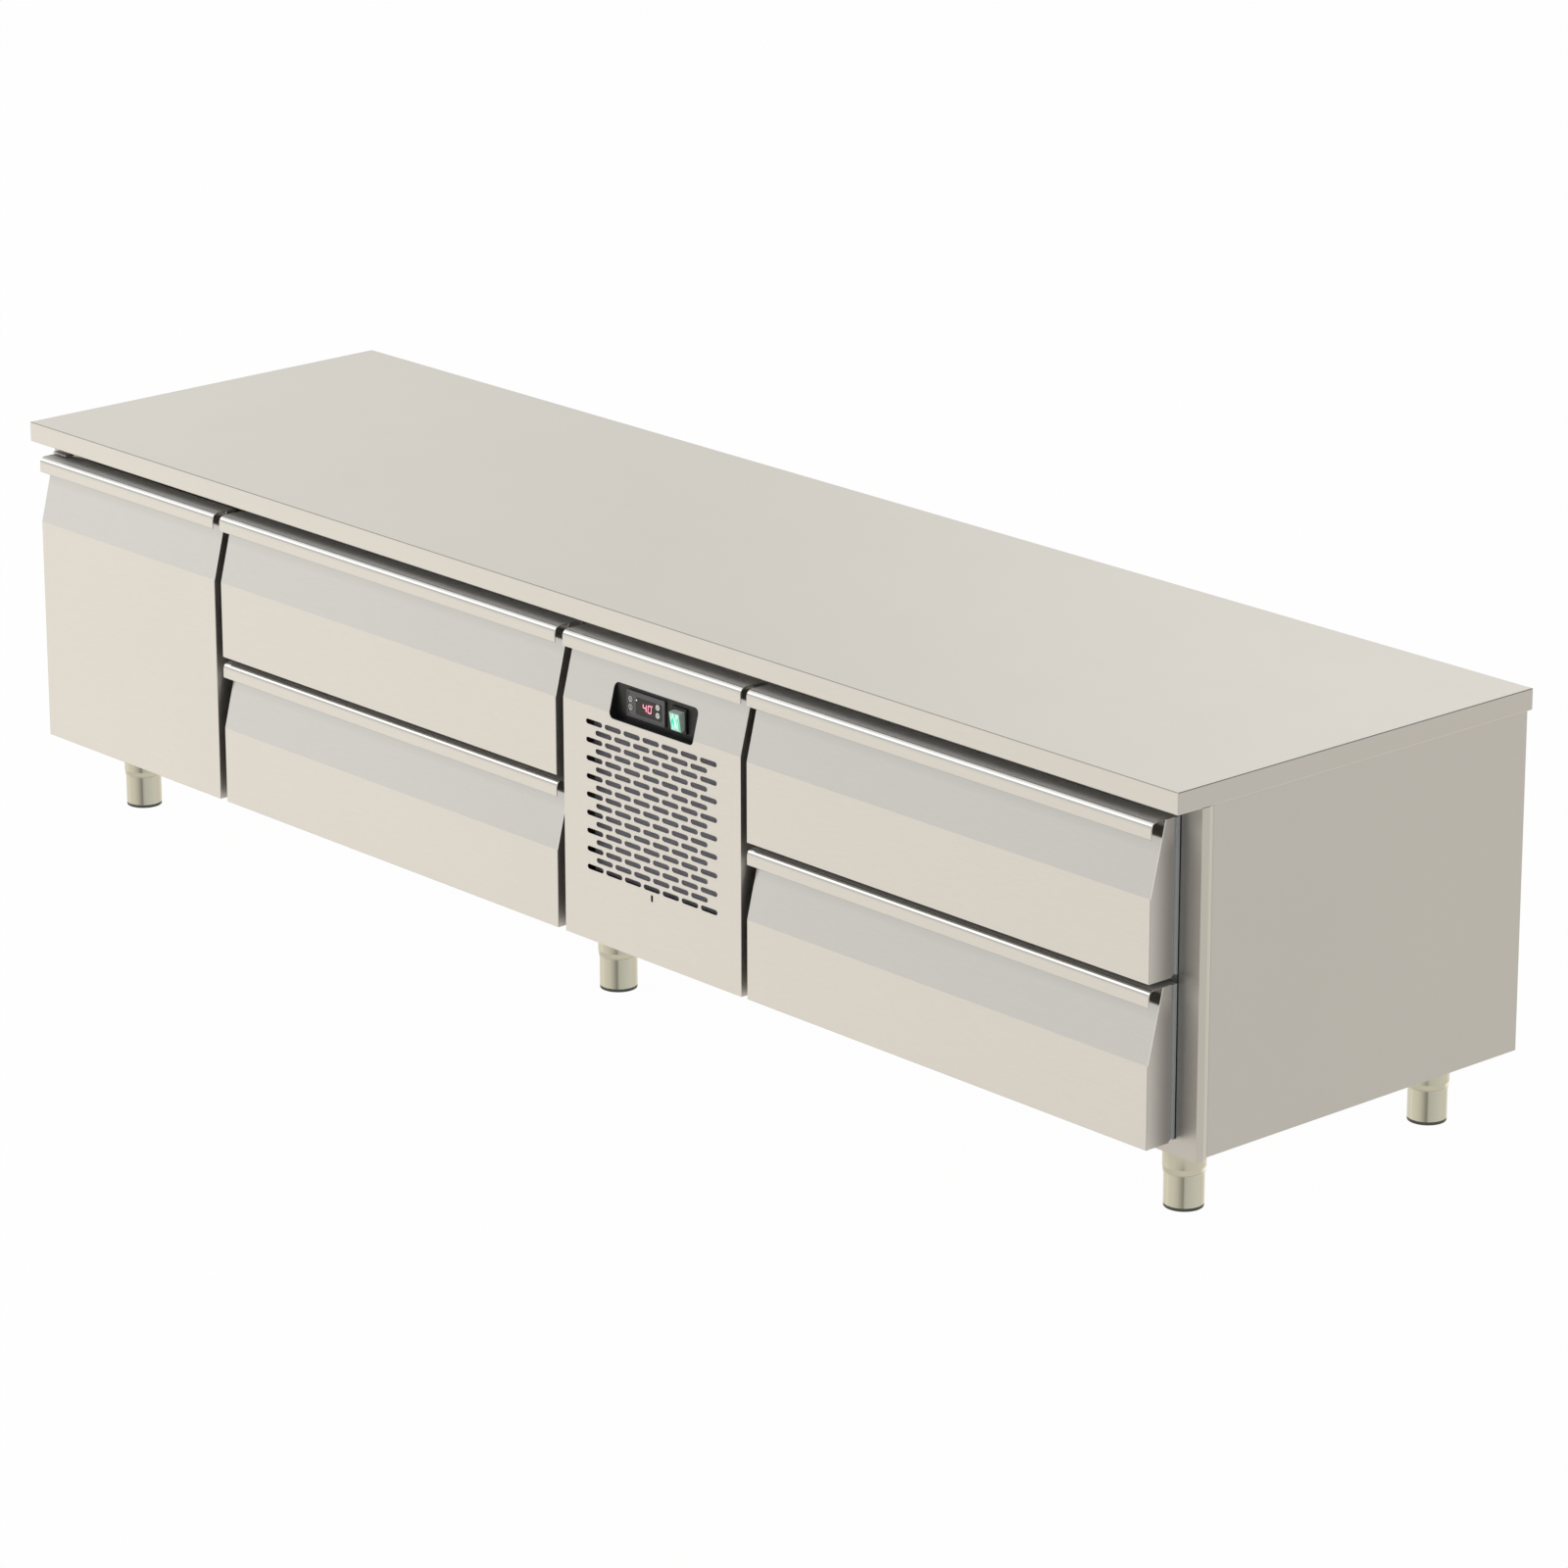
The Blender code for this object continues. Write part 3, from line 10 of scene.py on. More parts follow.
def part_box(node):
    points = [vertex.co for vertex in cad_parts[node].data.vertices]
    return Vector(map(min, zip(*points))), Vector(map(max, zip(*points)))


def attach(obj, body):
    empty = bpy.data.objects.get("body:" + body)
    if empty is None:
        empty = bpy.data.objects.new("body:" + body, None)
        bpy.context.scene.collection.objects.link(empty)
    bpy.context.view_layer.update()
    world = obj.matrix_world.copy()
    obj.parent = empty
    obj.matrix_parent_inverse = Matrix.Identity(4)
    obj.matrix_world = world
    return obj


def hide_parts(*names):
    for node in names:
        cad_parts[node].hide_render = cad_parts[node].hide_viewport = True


CABINET = "cabinet"
LEGS = [side + "_" + row for side in ("left", "middle", "right") for row in ("front", "rear")]
DRAWERS = [bank + "_" + level for bank in ("left", "right") for level in ("upper", "lower")]

# Floor: half its side, depth below the feet, tones, and how white the camera sees it
FLOOR_REACH = 20
FLOOR_DROP = 0.0005
FLOOR_TONES = ((0.86, 0.845, 0.81), (0.88, 0.865, 0.83))
FLOOR_CLOUDS = 3.0
FLOOR_ROUGHNESS = 0.9
FLOOR_WHITE_SHARE = 0.98

# Room seen by the steel: level by compass angle in degrees, for the floor, the horizon and the upper room
WARM_TINT = (1.05, 1.0, 0.92)
PLAIN_TINT = (1.01, 1.0, 0.965)
WORKTOP_TINT = (1.025, 1.0, 0.94)


def tinted(tint, *stops):
    return [(degrees, level, tint) for degrees, level in stops]


FLOOR_RING = [
    *tinted(WARM_TINT, (-180, 0.92), (-160, 0.96), (-146, 1.03), (-141, 0.955), (-136.5, 0.895)),
    *tinted(WARM_TINT, (-118, 0.865), (-104, 0.825), (-91, 0.75), (-78, 0.64), (-66, 0.50), (-54, 0.34)),
    *tinted(PLAIN_TINT, (-46, 0.34), (-42, 0.58), (-30, 0.685), (0, 0.757), (34, 0.825)),
    *tinted(WARM_TINT, (52, 0.84), (66, 0.80), (100, 0.90), (180, 0.92)),
]
NEAR_RING = tinted(WARM_TINT, (-180, 0.75), (60, 0.80), (90, 1.30), (139, 1.30), (142, 0.70), (180, 0.75))
HORIZON_RING = [
    *tinted(PLAIN_TINT, (-180, 0.86), (-146, 0.985), (-141, 0.925), (-134, 0.785), (-60, 0.75)),
    *tinted(PLAIN_TINT, (-53, 1.10), (-39, 1.10), (-32, 0.75), (180, 0.86)),
]
UPPER_RING = [
    *tinted(PLAIN_TINT, (-180, 0.80), (-150, 0.70), (-60, 0.70), (30, 0.45), (64, 0.28), (100, 0.60)),
    *tinted(WORKTOP_TINT, (128, 0.96), (134, 0.90), (139, 0.79), (145, 0.86)),
    *tinted(PLAIN_TINT, (180, 0.80)),
]
CEILING = tinted(PLAIN_TINT, (-180, 0.26), (180, 0.26))
ZENITH = tinted(PLAIN_TINT, (-180, 0.74), (180, 0.74))

# Heights between which one part of the room passes into the next, and the strip softbox
NEAR_END = (-0.45, -0.37)
FLOOR_END = (-0.14, -0.06)
HORIZON_END = (0.10, 0.19)
UPPER_END = (0.42, 0.52)
CEILING_END = (0.76, 0.90)
SOFTBOX_TILT = math.radians(120)
SOFTBOX_EDGE = (math.radians(14), math.radians(30))
SOFTBOX_ENDS = (-0.60, -0.50)
SOFTBOX_BOTTOM = (0.36, 0.46)
SOFTBOX_COLOUR = (1.75, 1.75, 1.75)

# Worktop: fine painted shade lines along its folds
EDGE_SHADE_LINE = (0.0002, 0.0006)
FRONT_SHADE_LINE_TONE = (0.60, 0.61, 0.61)
END_SHADE_LINE_TONE = (0.14, 0.13, 0.12)

# Cabinet's face: corner strips with painted shade, the joggle with painted light, and a painted shadow line
# beside the gasket
FRAME_TURN = (0.30, 0.60)
JOGGLE = 0.0085
GASKET_SHADE_LINE = (0.0012, 0.0022)
GASKET_SHADE_LINE_TONE = (0.20, 0.20, 0.20)

# Fronts: which way a face turns, and painted shade tones: cut sides in their gaps, darker towards the back,
# shade under a lip, faces turned inside, and the flange under the worktop
FLANGE_TURN = (0.90, 0.98)
UNDER_TURN = (-0.6, -0.3)
BACK_TURN = (0.3, 0.6)
SIDE_TURN = (0.80, 0.95)
SIDE_SHADE_TONE = (0.66, 0.643, 0.615)
SIDE_BACK_SHADE_TONE = (0.47, 0.458, 0.438)
SIDE_SHADE_FADE = (0.004, 0.036)
LIP_SHADE_TONE = (0.610, 0.598, 0.580)
LIP_SHADE = (0.0185, 0.0480)
LIP_SHADE_DEPTH = (0.0015, 0.0040)
SIDE_ROUGHNESS = 0.42
INSIDE_SHADE_TONE = (0.48, 0.47, 0.45)
FLANGE_SHADE_REACH = 0.040
FLANGE_ROUGHNESS = 0.45
FLANGE_METALLIC = 0.35
FLANGE_SHADE_FRONT_TONE = (0.75, 0.745, 0.735)
FLANGE_SHADE_BACK_TONE = (0.45, 0.44, 0.42)

# Grille: painted shade on the cut sheet inside the slots
SLOT_WALL = (0.00005, 0.00015)
SLOT_SHADE_TONE = (0.07, 0.07, 0.07)
SLOT_ROUGHNESS = 0.90
GRILLE_TOP = (0.486, 0.488)
GRILLE_SIDE = (0.165, 0.168)

# Brushed steel: colour of the main sheets, scales of grain, clouds and smudges, streaks and depth
SHEET_COLOUR = (0.735, 0.720, 0.695)
BRUSH_SCALE, CLOUD_SCALE, SMUDGE_SCALE = 700, 4.0, 9.0
BRUSH_STRETCH = {"X": (0.08, 1, 1), "Y": (1, 0.08, 1), "Z": (1, 1, 0.08), "": (1, 1, 1)}
BRUSH_ROUGHNESS = 0.6
STREAK_TONES, STREAK_SPAN, STREAK_SHARE = ((0.955, 0.955, 0.955), (1, 1, 1)), (0.35, 0.65), 0.5
BRUSH_DEPTH = 0.0001

# Moulded plastic: spread in tone and gloss, and depth of its grain
TONE_SPREAD, GLOSS_SPREAD = 0.15, 0.05
GLOSS_SCALE = 60
COAT_ROUGHNESS = 0.08
GRAIN_DEPTH = 0.0002

# Lit and clear plastic
GLOW_SCALE, GLOW_DIM, GLOW_ROUGHNESS = 500, 0.75, 0.4
ROCKER_GREENS = ((0.05, 0.66, 0.42), (0.80, 1.0, 0.92))
ROCKER_STREAK_SCALE, ROCKER_STREAK_STRETCH, ROCKER_STREAK_SPAN = 420, (1, 1, 0.10), (0.42, 0.60)
ROCKER_PATCH_SCALE, ROCKER_STRENGTH = 90, (0.70, 1.15)
ROCKER_BASE, ROCKER_ROUGHNESS = (0.02, 0.20, 0.12), 0.2
CLEAR_TONES = ((0.50, 0.55, 0.53), (0.68, 0.73, 0.71))
CLEAR_FLOW_SCALE, CLEAR_FLOW_STRETCH = 160, (1, 1, 0.3)
CLEAR_ROUGHNESS = (0.08, 0.20)
CLEAR_TRANSMISSION, CLEAR_IOR = 0.25, 1.49

# Skins and marks laid on a surface
SKIN = 0.0003
HAIR = 0.0001

# Screws: radii of their heads, and points of a head's profile as shares of its radius
SCREW = 0.0040
SMALL_SCREW = 0.0028
SCREW_HEAD_SHARES = ((0, 0.2), (0.38, 0.2), (0.42, 0.55), (0.75, 0.46), (1, 0.12))

# Steps of a half turn, of bevels and of tubes
HALF_TURN = 6
BEVEL_STEPS = 2
TUBE_ROUND_STEPS, TUBE_LONG_STEPS = 3, 8

# Legs
PAD_STEP = 0.0003
PAD_EDGE = 0.0008
PAD_CORNER = 0.3 * PAD_EDGE
PAD_HEIGHT = 0.0046
FLANGE_SCREW_INSET = 0.0046
FLANGE_SHEET = 0.0030
SLEEVE_RADIUS = 0.0307
WELD = 0.0015
NECK_TOP = 0.0615
NECK_STEPS = 8
RIM_RADIUS = 0.0010
NECK_CLEAR = 0.8 * RIM_RADIUS
WELD_ARC, RIM_ARC = (90, 180, 4), (40, -90, 6)
LEG_SEGMENTS = 72

# Screw places, door and drawer backs
BRACKET_SHEET = 0.0030
BRACKET_SCREW_DROP = 0.0052
BRACKET_SCREW_SHARES = (0.28, 0.76)
COVER_SCREW_INSET = 0.009
COVER_SCREW_SHARES = (0, 0.5, 1)
DOOR_PANEL_INSET = 0.0270
PANEL_CORNER = 0.0120
PANEL_RISE = 0.0060
PANEL_STEPS = 6
PANEL_SECTION_SHARES = ((0, 0), (0, 0.4), (0.15, 0.85), (0.5, 1), (2.2, 1), (2.7, 0.75), (3.2, 0.7))
DRAWER_SKIN_INSET = 0.0200

# Slides
BALL_RADIUS = 0.0011
BALL_SINK = 0.0020
BALL_START = 0.0200
BALL_PITCH = 0.0120
BALLS = 6
BALL_SEGMENTS = 10

# Evaporator guard, condenser bends
GUARD_STAND = 0.0040
GUARD_RADIUS = 0.0480
GUARD_RINGS = 5
GUARD_WIRE = 0.0008
SPOKE_SHARES = (1 / GUARD_RINGS, 0.6, 1)
COIL_HEIGHT = 0.2405
COIL_DEPTH = 0.0430
COIL_BENDS = 5
COIL_TUBE = 0.0035
COIL_DEPTH_SHARES = (0.3, 0.72)
BEND_SHARES = (0.25, 0.75)

# Copper lines: steps from the compressor's shoulder, then from the condenser's upper right corner
CAN_SHOULDER = 0.045
DISCHARGE_TUBE, SUCTION_TUBE = 0.0030, 0.0045
DISCHARGE_STEPS = ((0.060, -0.030, 0), (0.100, -0.050, 0.020), (0.125, -0.075, 0.070), (0.150, -0.120, 0))
DISCHARGE_DROP = 0.090
INLET_STEPS = ((0.010, 0.030, -0.035), (0.008, 0, -0.020), (-0.001, 0, -0.018))
SUCTION_STEPS = (
    (-0.075, 0.010, -0.030),
    (-0.115, 0.030, -0.010),
    (-0.135, 0.090, 0.040),
    (-0.140, 0.150, 0.150),
    (-0.150, 0.170, 0.195),
    (-0.1715, 0.172, 0.200),
)

# Controller: places are measured from the middle of its bezel
BEZEL_SINK = 0.0010
GLASS_LEFT, GLASS_RIGHT = -0.0222, 0.0352
GLASS_BOTTOM, GLASS_TOP = -0.0136, 0.0124
GLASS_CORNER = 0.0015
LAMP_X, LAMP_Z, LAMP_RADIUS = -0.0206, 0.0078, 0.0012
LAMP_RISE, LAMP_SHOULDER = 0.00060, 0.00048
DIGIT_WIDTH, DIGIT_HEIGHT, DIGIT_STROKE = 0.0080, 0.0122, 0.0012
DIGIT_BOTTOM, DIGIT_SLANT = -0.0062, 0.09
DIGIT_PLACES = ((-0.0182, "8", False), (-0.0070, "4", True), (0.0040, "0", True))
DOT_X, DOT_Z, DOT_RADIUS = 0.0142, 0.0060, 0.0008
DOT_SEGMENTS = 12
SEGMENTS = {"8": "abcdefg", "4": "bcfg", "0": "abcdef"}

# Marks on the keys, as shares of a key's radius
KEY_RING_SHARES = (0.70, 0.97)
KEY_BAR_SHARES = (0.13, 0.42)
KEY_BAR_TURNS = {"upper": (0, 60, 120), "lower": (90,)}
KEY_ARROW_SHARES = (0.38, -0.24, 0.30)
KEY_SEGMENTS = 24

# Rocker switch
ROCKER_TILT = math.radians(9)
ROCKER_PIVOT = 0.0040
ROCKER_PROUD = 0.0075
ROCKER_HALF_WIDTH, ROCKER_HALF_HEIGHT = 0.0112, 0.0144
ROCKER_EDGE = 0.0007
ROCKER_RIB_RADIUS = 0.0011
ROCKER_RIB_RISE = ROCKER_RIB_RADIUS / 2
ROCKER_RIBS = 5

# Camera and key light
CAMERA_PLACE = (6.9658, -6.1327, 3.2915)
CAMERA_RIGHT = (0.668235, 0.743949, -0.001447)
CAMERA_DOWN = (0.229195, -0.207718, -0.950959)
CAMERA_LOOK = (-0.707765, 0.635132, -0.309314)
CAMERA_SENSOR = 36.0
CAMERA_LENS = 147.86
CAMERA_REACH = 100
LIGHT_PLACE = (-4.6, -2.2, 4.4)
LIGHT_TARGET = (0.0, -0.2, 0.3)
LIGHT_SIZE = (1.6, 1.6)
LIGHT_POWER = 90
LIGHT_COLOUR = (1.0, 0.99, 0.97)


def along_y(x, z, y):
    return (x, y, z)


def along_z(x, y, z):
    return (x, y, z)


def add_prism(bm, outline, low, high, place):
    """Extrude a closed outline of (a, b) points from low to high. place turns (a, b, c) into a point."""
    bottom = [bm.verts.new(place(a, b, low)) for a, b in outline]
    top = [bm.verts.new(place(a, b, high)) for a, b in outline]
    bm.faces.new(bottom)
    bm.faces.new(top)
    for i in range(len(outline)):
        j = (i + 1) % len(outline)
        bm.faces.new((bottom[i], bottom[j], top[j], top[i]))


def add_block(bm, x, y, z):
    add_prism(bm, ((x[0], y[0]), (x[1], y[0]), (x[1], y[1]), (x[0], y[1])), *z, along_z)


def add_turned(bm, profile, centre, axis, segments=16):
    """Turn a profile of (radius, height) points about an axis that starts at centre."""
    turn = Vector((0, 0, 1)).rotation_difference(Vector(axis)).to_matrix()
    closed = profile[0][0] > 0
    rings = []
    for radius, height in profile:
        count = segments if radius > 0 else 1
        ring = []
        for i in range(count):
            angle = 2 * math.pi * i / segments
            point = Vector((radius * math.cos(angle), radius * math.sin(angle), height))
            ring.append(bm.verts.new(Vector(centre) + turn @ point))
        rings.append(ring)
    pairs = list(zip(rings, rings[1:]))
    if closed:
        pairs.append((rings[-1], rings[0]))
    for ring, after in pairs:
        for i in range(segments):
            j = (i + 1) % segments
            corners = [loop[k % len(loop)] for loop, k in ((ring, i), (ring, j), (after, j), (after, i))]
            bm.faces.new(list(dict.fromkeys(corners)))


def rounded_rectangle(a, b, radius, segments=4):
    corners = (
        (a[0] + radius, b[0] + radius, 180),
        (a[1] - radius, b[0] + radius, 270),
        (a[1] - radius, b[1] - radius, 0),
        (a[0] + radius, b[1] - radius, 90),
    )
    points = []
    for centre_a, centre_b, start in corners:
        for i in range(segments + 1):
            angle = math.radians(start + 90 * i / segments)
            points.append((centre_a + radius * math.cos(angle), centre_b + radius * math.sin(angle)))
    return points


def add_screw(bm, centre, axis, radius):
    """Low round head with a socket in it."""
    profile = [(reach * radius, height * radius) for reach, height in SCREW_HEAD_SHARES]
    profile += [(radius, -HAIR), (0, -HAIR)]
    add_turned(bm, profile, centre, axis)


def piece(name, bm, body, surface, sharp=35, bevel=0.0):
    """Turn a mesh into a piece that rides on a body."""
    bmesh.ops.recalc_face_normals(bm, faces=bm.faces[:])
    mesh = bpy.data.meshes.new(name)
    bm.to_mesh(mesh)
    bm.free()
    mesh.materials.append(surface)
    mesh.shade_smooth()
    mesh.set_sharp_from_angle(angle=math.radians(sharp))
    obj = bpy.data.objects.new(name, mesh)
    bpy.context.scene.collection.objects.link(obj)
    if bevel:
        rounding = obj.modifiers.new("edges", "BEVEL")
        rounding.width = bevel
        rounding.segments = BEVEL_STEPS
        rounding.limit_method = "ANGLE"
        rounding.harden_normals = True
    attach(obj, body)
    return obj


def tube(name, points, radius, body, surface, cyclic=False):
    """Bent tube on a smooth curve through the points."""
    data = bpy.data.curves.new(name, "CURVE")
    data.dimensions = "3D"
    data.bevel_depth = radius
    data.bevel_resolution = TUBE_ROUND_STEPS
    data.resolution_u = TUBE_LONG_STEPS
    data.use_fill_caps = True
    spline = data.splines.new("BEZIER")
    spline.bezier_points.add(len(points) - 1)
    for knot, point in zip(spline.bezier_points, points):
        knot.co = point
        knot.handle_left_type = "AUTO"
        knot.handle_right_type = "AUTO"
    spline.use_cyclic_u = cyclic
    data.materials.append(surface)
    obj = bpy.data.objects.new(name, data)
    bpy.context.scene.collection.objects.link(obj)
    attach(obj, body)
    return obj


def box_middle(node):
    low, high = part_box(node)
    return (low + high) / 2


def socket(node, name, value):
    node.inputs[name].default_value = value


def new_material(name):
    made = bpy.data.materials.new(name)
    made.use_nodes = True
    return made, made.node_tree, made.node_tree.nodes["Principled BSDF"]


def add_node(tree, kind, **settings):
    node = tree.nodes.new(kind)
    for name, value in settings.items():
        setattr(node, name, value)
    return node


def placed_noise(tree, scale, stretch=(1, 1, 1), detail=2.0, roughness=0.5):
    """Noise in the object's own space, drawn out along an axis by a small stretch value."""
    place = add_node(tree, "ShaderNodeTexCoord")
    mapping = add_node(tree, "ShaderNodeMapping")
    socket(mapping, "Scale", stretch)
    noise = add_node(tree, "ShaderNodeTexNoise")
    socket(noise, "Scale", scale)
    socket(noise, "Detail", detail)
    socket(noise, "Roughness", roughness)
    tree.links.new(place.outputs["Object"], mapping.inputs["Vector"])
    tree.links.new(mapping.outputs["Vector"], noise.inputs["Vector"])
    return noise


def ramp_between(tree, source, low, high, start=0.3, end=0.7):
    """A colour ramp from low to high, driven by a source's grey value."""
    ramp = add_node(tree, "ShaderNodeValToRGB")
    ramp.color_ramp.elements[0].position = start
    ramp.color_ramp.elements[1].position = end
    ramp.color_ramp.elements[0].color = (*low, 1)
    ramp.color_ramp.elements[1].color = (*high, 1)
    tree.links.new(source, ramp.inputs["Fac"])
    return ramp


def value_between(tree, source, low, high, start=0.3, end=0.7):
    spread = add_node(tree, "ShaderNodeMapRange")
    socket(spread, "From Min", start)
    socket(spread, "From Max", end)
    socket(spread, "To Min", low)
    socket(spread, "To Max", high)
    tree.links.new(source, spread.inputs["Value"])
    return spread.outputs["Result"]


def rising(tree, source, start, end):
    """Mask that grows from 0 to 1 as the source goes from start to end."""
    return value_between(tree, source, 0.0, 1.0, start, end)


def falling(tree, source, start, end):
    return value_between(tree, source, 1.0, 0.0, start, end)


def bump_from(tree, shader, height, distance, strength):
    bump = add_node(tree, "ShaderNodeBump")
    socket(bump, "Strength", strength)
    socket(bump, "Distance", distance)
    tree.links.new(height, bump.inputs["Height"])
    tree.links.new(bump.outputs["Normal"], shader.inputs["Normal"])


def brushed_steel(name, colour, roughness, grain, cloud=0.006, spread=0.02, metallic=1.0, bump=0.006):
    """Satin stainless: fine grain drawn out along one axis, soft clouds in tone and smudges in gloss."""
    made, tree, shader = new_material(name)
    lines = placed_noise(tree, BRUSH_SCALE, BRUSH_STRETCH[grain], roughness=BRUSH_ROUGHNESS)
    clouds = placed_noise(tree, CLOUD_SCALE, detail=3.0)
    low = tuple(c * (1 - cloud) for c in colour)
    high = tuple(min(1, c * (1 + cloud)) for c in colour)
    tone = ramp_between(tree, clouds.outputs["Fac"], low, high)
    lined = add_node(tree, "ShaderNodeMix", data_type="RGBA", blend_type="MULTIPLY")
    socket(lined, "Factor", STREAK_SHARE)
    streaks = ramp_between(tree, lines.outputs["Fac"], *STREAK_TONES, *STREAK_SPAN)
    tree.links.new(tone.outputs["Color"], lined.inputs[6])
    tree.links.new(streaks.outputs["Color"], lined.inputs[7])
    tree.links.new(lined.outputs[2], shader.inputs["Base Color"])
    smudges = placed_noise(tree, SMUDGE_SCALE, detail=3.0)
    gloss = value_between(tree, smudges.outputs["Fac"], roughness - spread / 2, roughness + spread / 2)
    tree.links.new(gloss, shader.inputs["Roughness"])
    socket(shader, "Metallic", metallic)
    bump_from(tree, shader, lines.outputs["Fac"], BRUSH_DEPTH, bump)
    return made


def lay_tone(tree, mask, tone):
    """Lay a tone, or a ramp's tones, over the base colour where the mask is 1."""
    base = tree.nodes["Principled BSDF"].inputs["Base Color"]
    mix = add_node(tree, "ShaderNodeMix", data_type="RGBA")
    tree.links.new(mask, mix.inputs["Factor"])
    tree.links.new(base.links[0].from_socket, mix.inputs[6])
    if isinstance(tone, tuple):
        mix.inputs[7].default_value = (*tone, 1)
    else:
        tree.links.new(tone.outputs["Color"], mix.inputs[7])
    tree.links.new(mix.outputs[2], base)


def product(tree, factors):
    share = factors[0]
    for other in factors[1:]:
        times = add_node(tree, "ShaderNodeMath", operation="MULTIPLY")
        tree.links.new(share, times.inputs[0])
        tree.links.new(other, times.inputs[1])
        share = times.outputs[0]
    return share


def less(tree, value, amount):
    rest = add_node(tree, "ShaderNodeMath", operation="SUBTRACT")
    tree.links.new(value, rest.inputs[0])
    rest.inputs[1].default_value = amount
    return rest.outputs[0]


def object_axes(tree):
    place = add_node(tree, "ShaderNodeTexCoord")
    parts = add_node(tree, "ShaderNodeSeparateXYZ")
    tree.links.new(place.outputs["Object"], parts.inputs[0])
    return parts.outputs


def worktop_steel(colour, end_shade_colour, roughness):
    """Worktop steel with painted shade on its end faces; its front, right and left folds carry fine painted
    shade lines.
    """
    made = brushed_steel("worktop_steel", colour, roughness, "X")
    tree = made.node_tree
    low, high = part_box("worktop")
    axes = object_axes(tree)
    turned_out = size_of(tree, normal_axes(tree)["X"])
    # painted shade: faces turned to the ends get a darker tone
    lay_tone(tree, rising(tree, turned_out, *SIDE_TURN), end_shade_colour)
    near_top = rising(tree, axes["Z"], high.z - EDGE_SHADE_LINE[1], high.z - EDGE_SHADE_LINE[0])
    near_front = falling(tree, axes["Y"], low.y + EDGE_SHADE_LINE[0], low.y + EDGE_SHADE_LINE[1])
    # painted shade: a fine dark line along the front fold
    lay_tone(tree, product(tree, (near_top, near_front)), FRONT_SHADE_LINE_TONE)
    away = size_of(tree, axes["X"])
    near_end = rising(tree, away, high.x - EDGE_SHADE_LINE[1], high.x - EDGE_SHADE_LINE[0])
    # painted shade: a fine dark line along the folds at the ends
    lay_tone(tree, product(tree, (near_top, near_end)), END_SHADE_LINE_TONE)
    return made


def lay_value(tree, name, mask, value):
    """Lay a value over one of the shader's numbers where the mask is 1."""
    number = tree.nodes["Principled BSDF"].inputs[name]
    mix = add_node(tree, "ShaderNodeMix", data_type="FLOAT")
    tree.links.new(mask, mix.inputs["Factor"])
    if number.links:
        tree.links.new(number.links[0].from_socket, mix.inputs[2])
    else:
        mix.inputs[2].default_value = number.default_value
    mix.inputs[3].default_value = value
    tree.links.new(mix.outputs[0], number)


def normal_axes(tree):
    shape = add_node(tree, "ShaderNodeNewGeometry")
    parts = add_node(tree, "ShaderNodeSeparateXYZ")
    tree.links.new(shape.outputs["Normal"], parts.inputs[0])
    return parts.outputs


def size_of(tree, value):
    away = add_node(tree, "ShaderNodeMath", operation="ABSOLUTE")
    tree.links.new(value, away.inputs[0])
    return away.outputs[0]


def frame_steel(colour, strip_shade_colour, joggle_light_colour, roughness):
    """Cabinet's face steel: painted shade on the corner strips, painted light on the joggle, a painted
    shadow line by the gasket.
    """
    made = brushed_steel("frame_steel", colour, roughness, "X")
    tree = made.node_tree
    axes = object_axes(tree)
    joggle_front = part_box("front_frame")[1].y - JOGGLE
    turned_out = rising(tree, size_of(tree, normal_axes(tree)["X"]), *FRAME_TURN)
    # painted shade: strips that face sideways get a darker tone
    lay_tone(tree, turned_out, strip_shade_colour)
    joggle = rising(tree, axes["Y"], joggle_front, joggle_front + HAIR)
    # painted light: the joggle strip behind them gets a lighter tone
    lay_tone(tree, product(tree, (turned_out, joggle)), joggle_light_colour)
    gasket_low, gasket_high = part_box("right_lower_drawer_gasket")
    beside = less(tree, size_of(tree, axes["X"]), gasket_high.x)
    close = falling(tree, size_of(tree, beside), *GASKET_SHADE_LINE)
    above = rising(tree, axes["Z"], gasket_low.z - HAIR, gasket_low.z)
    # painted shadow: a thin dark line on the face beside the gasket
    lay_tone(tree, product(tree, (close, above)), GASKET_SHADE_LINE_TONE)
    return made


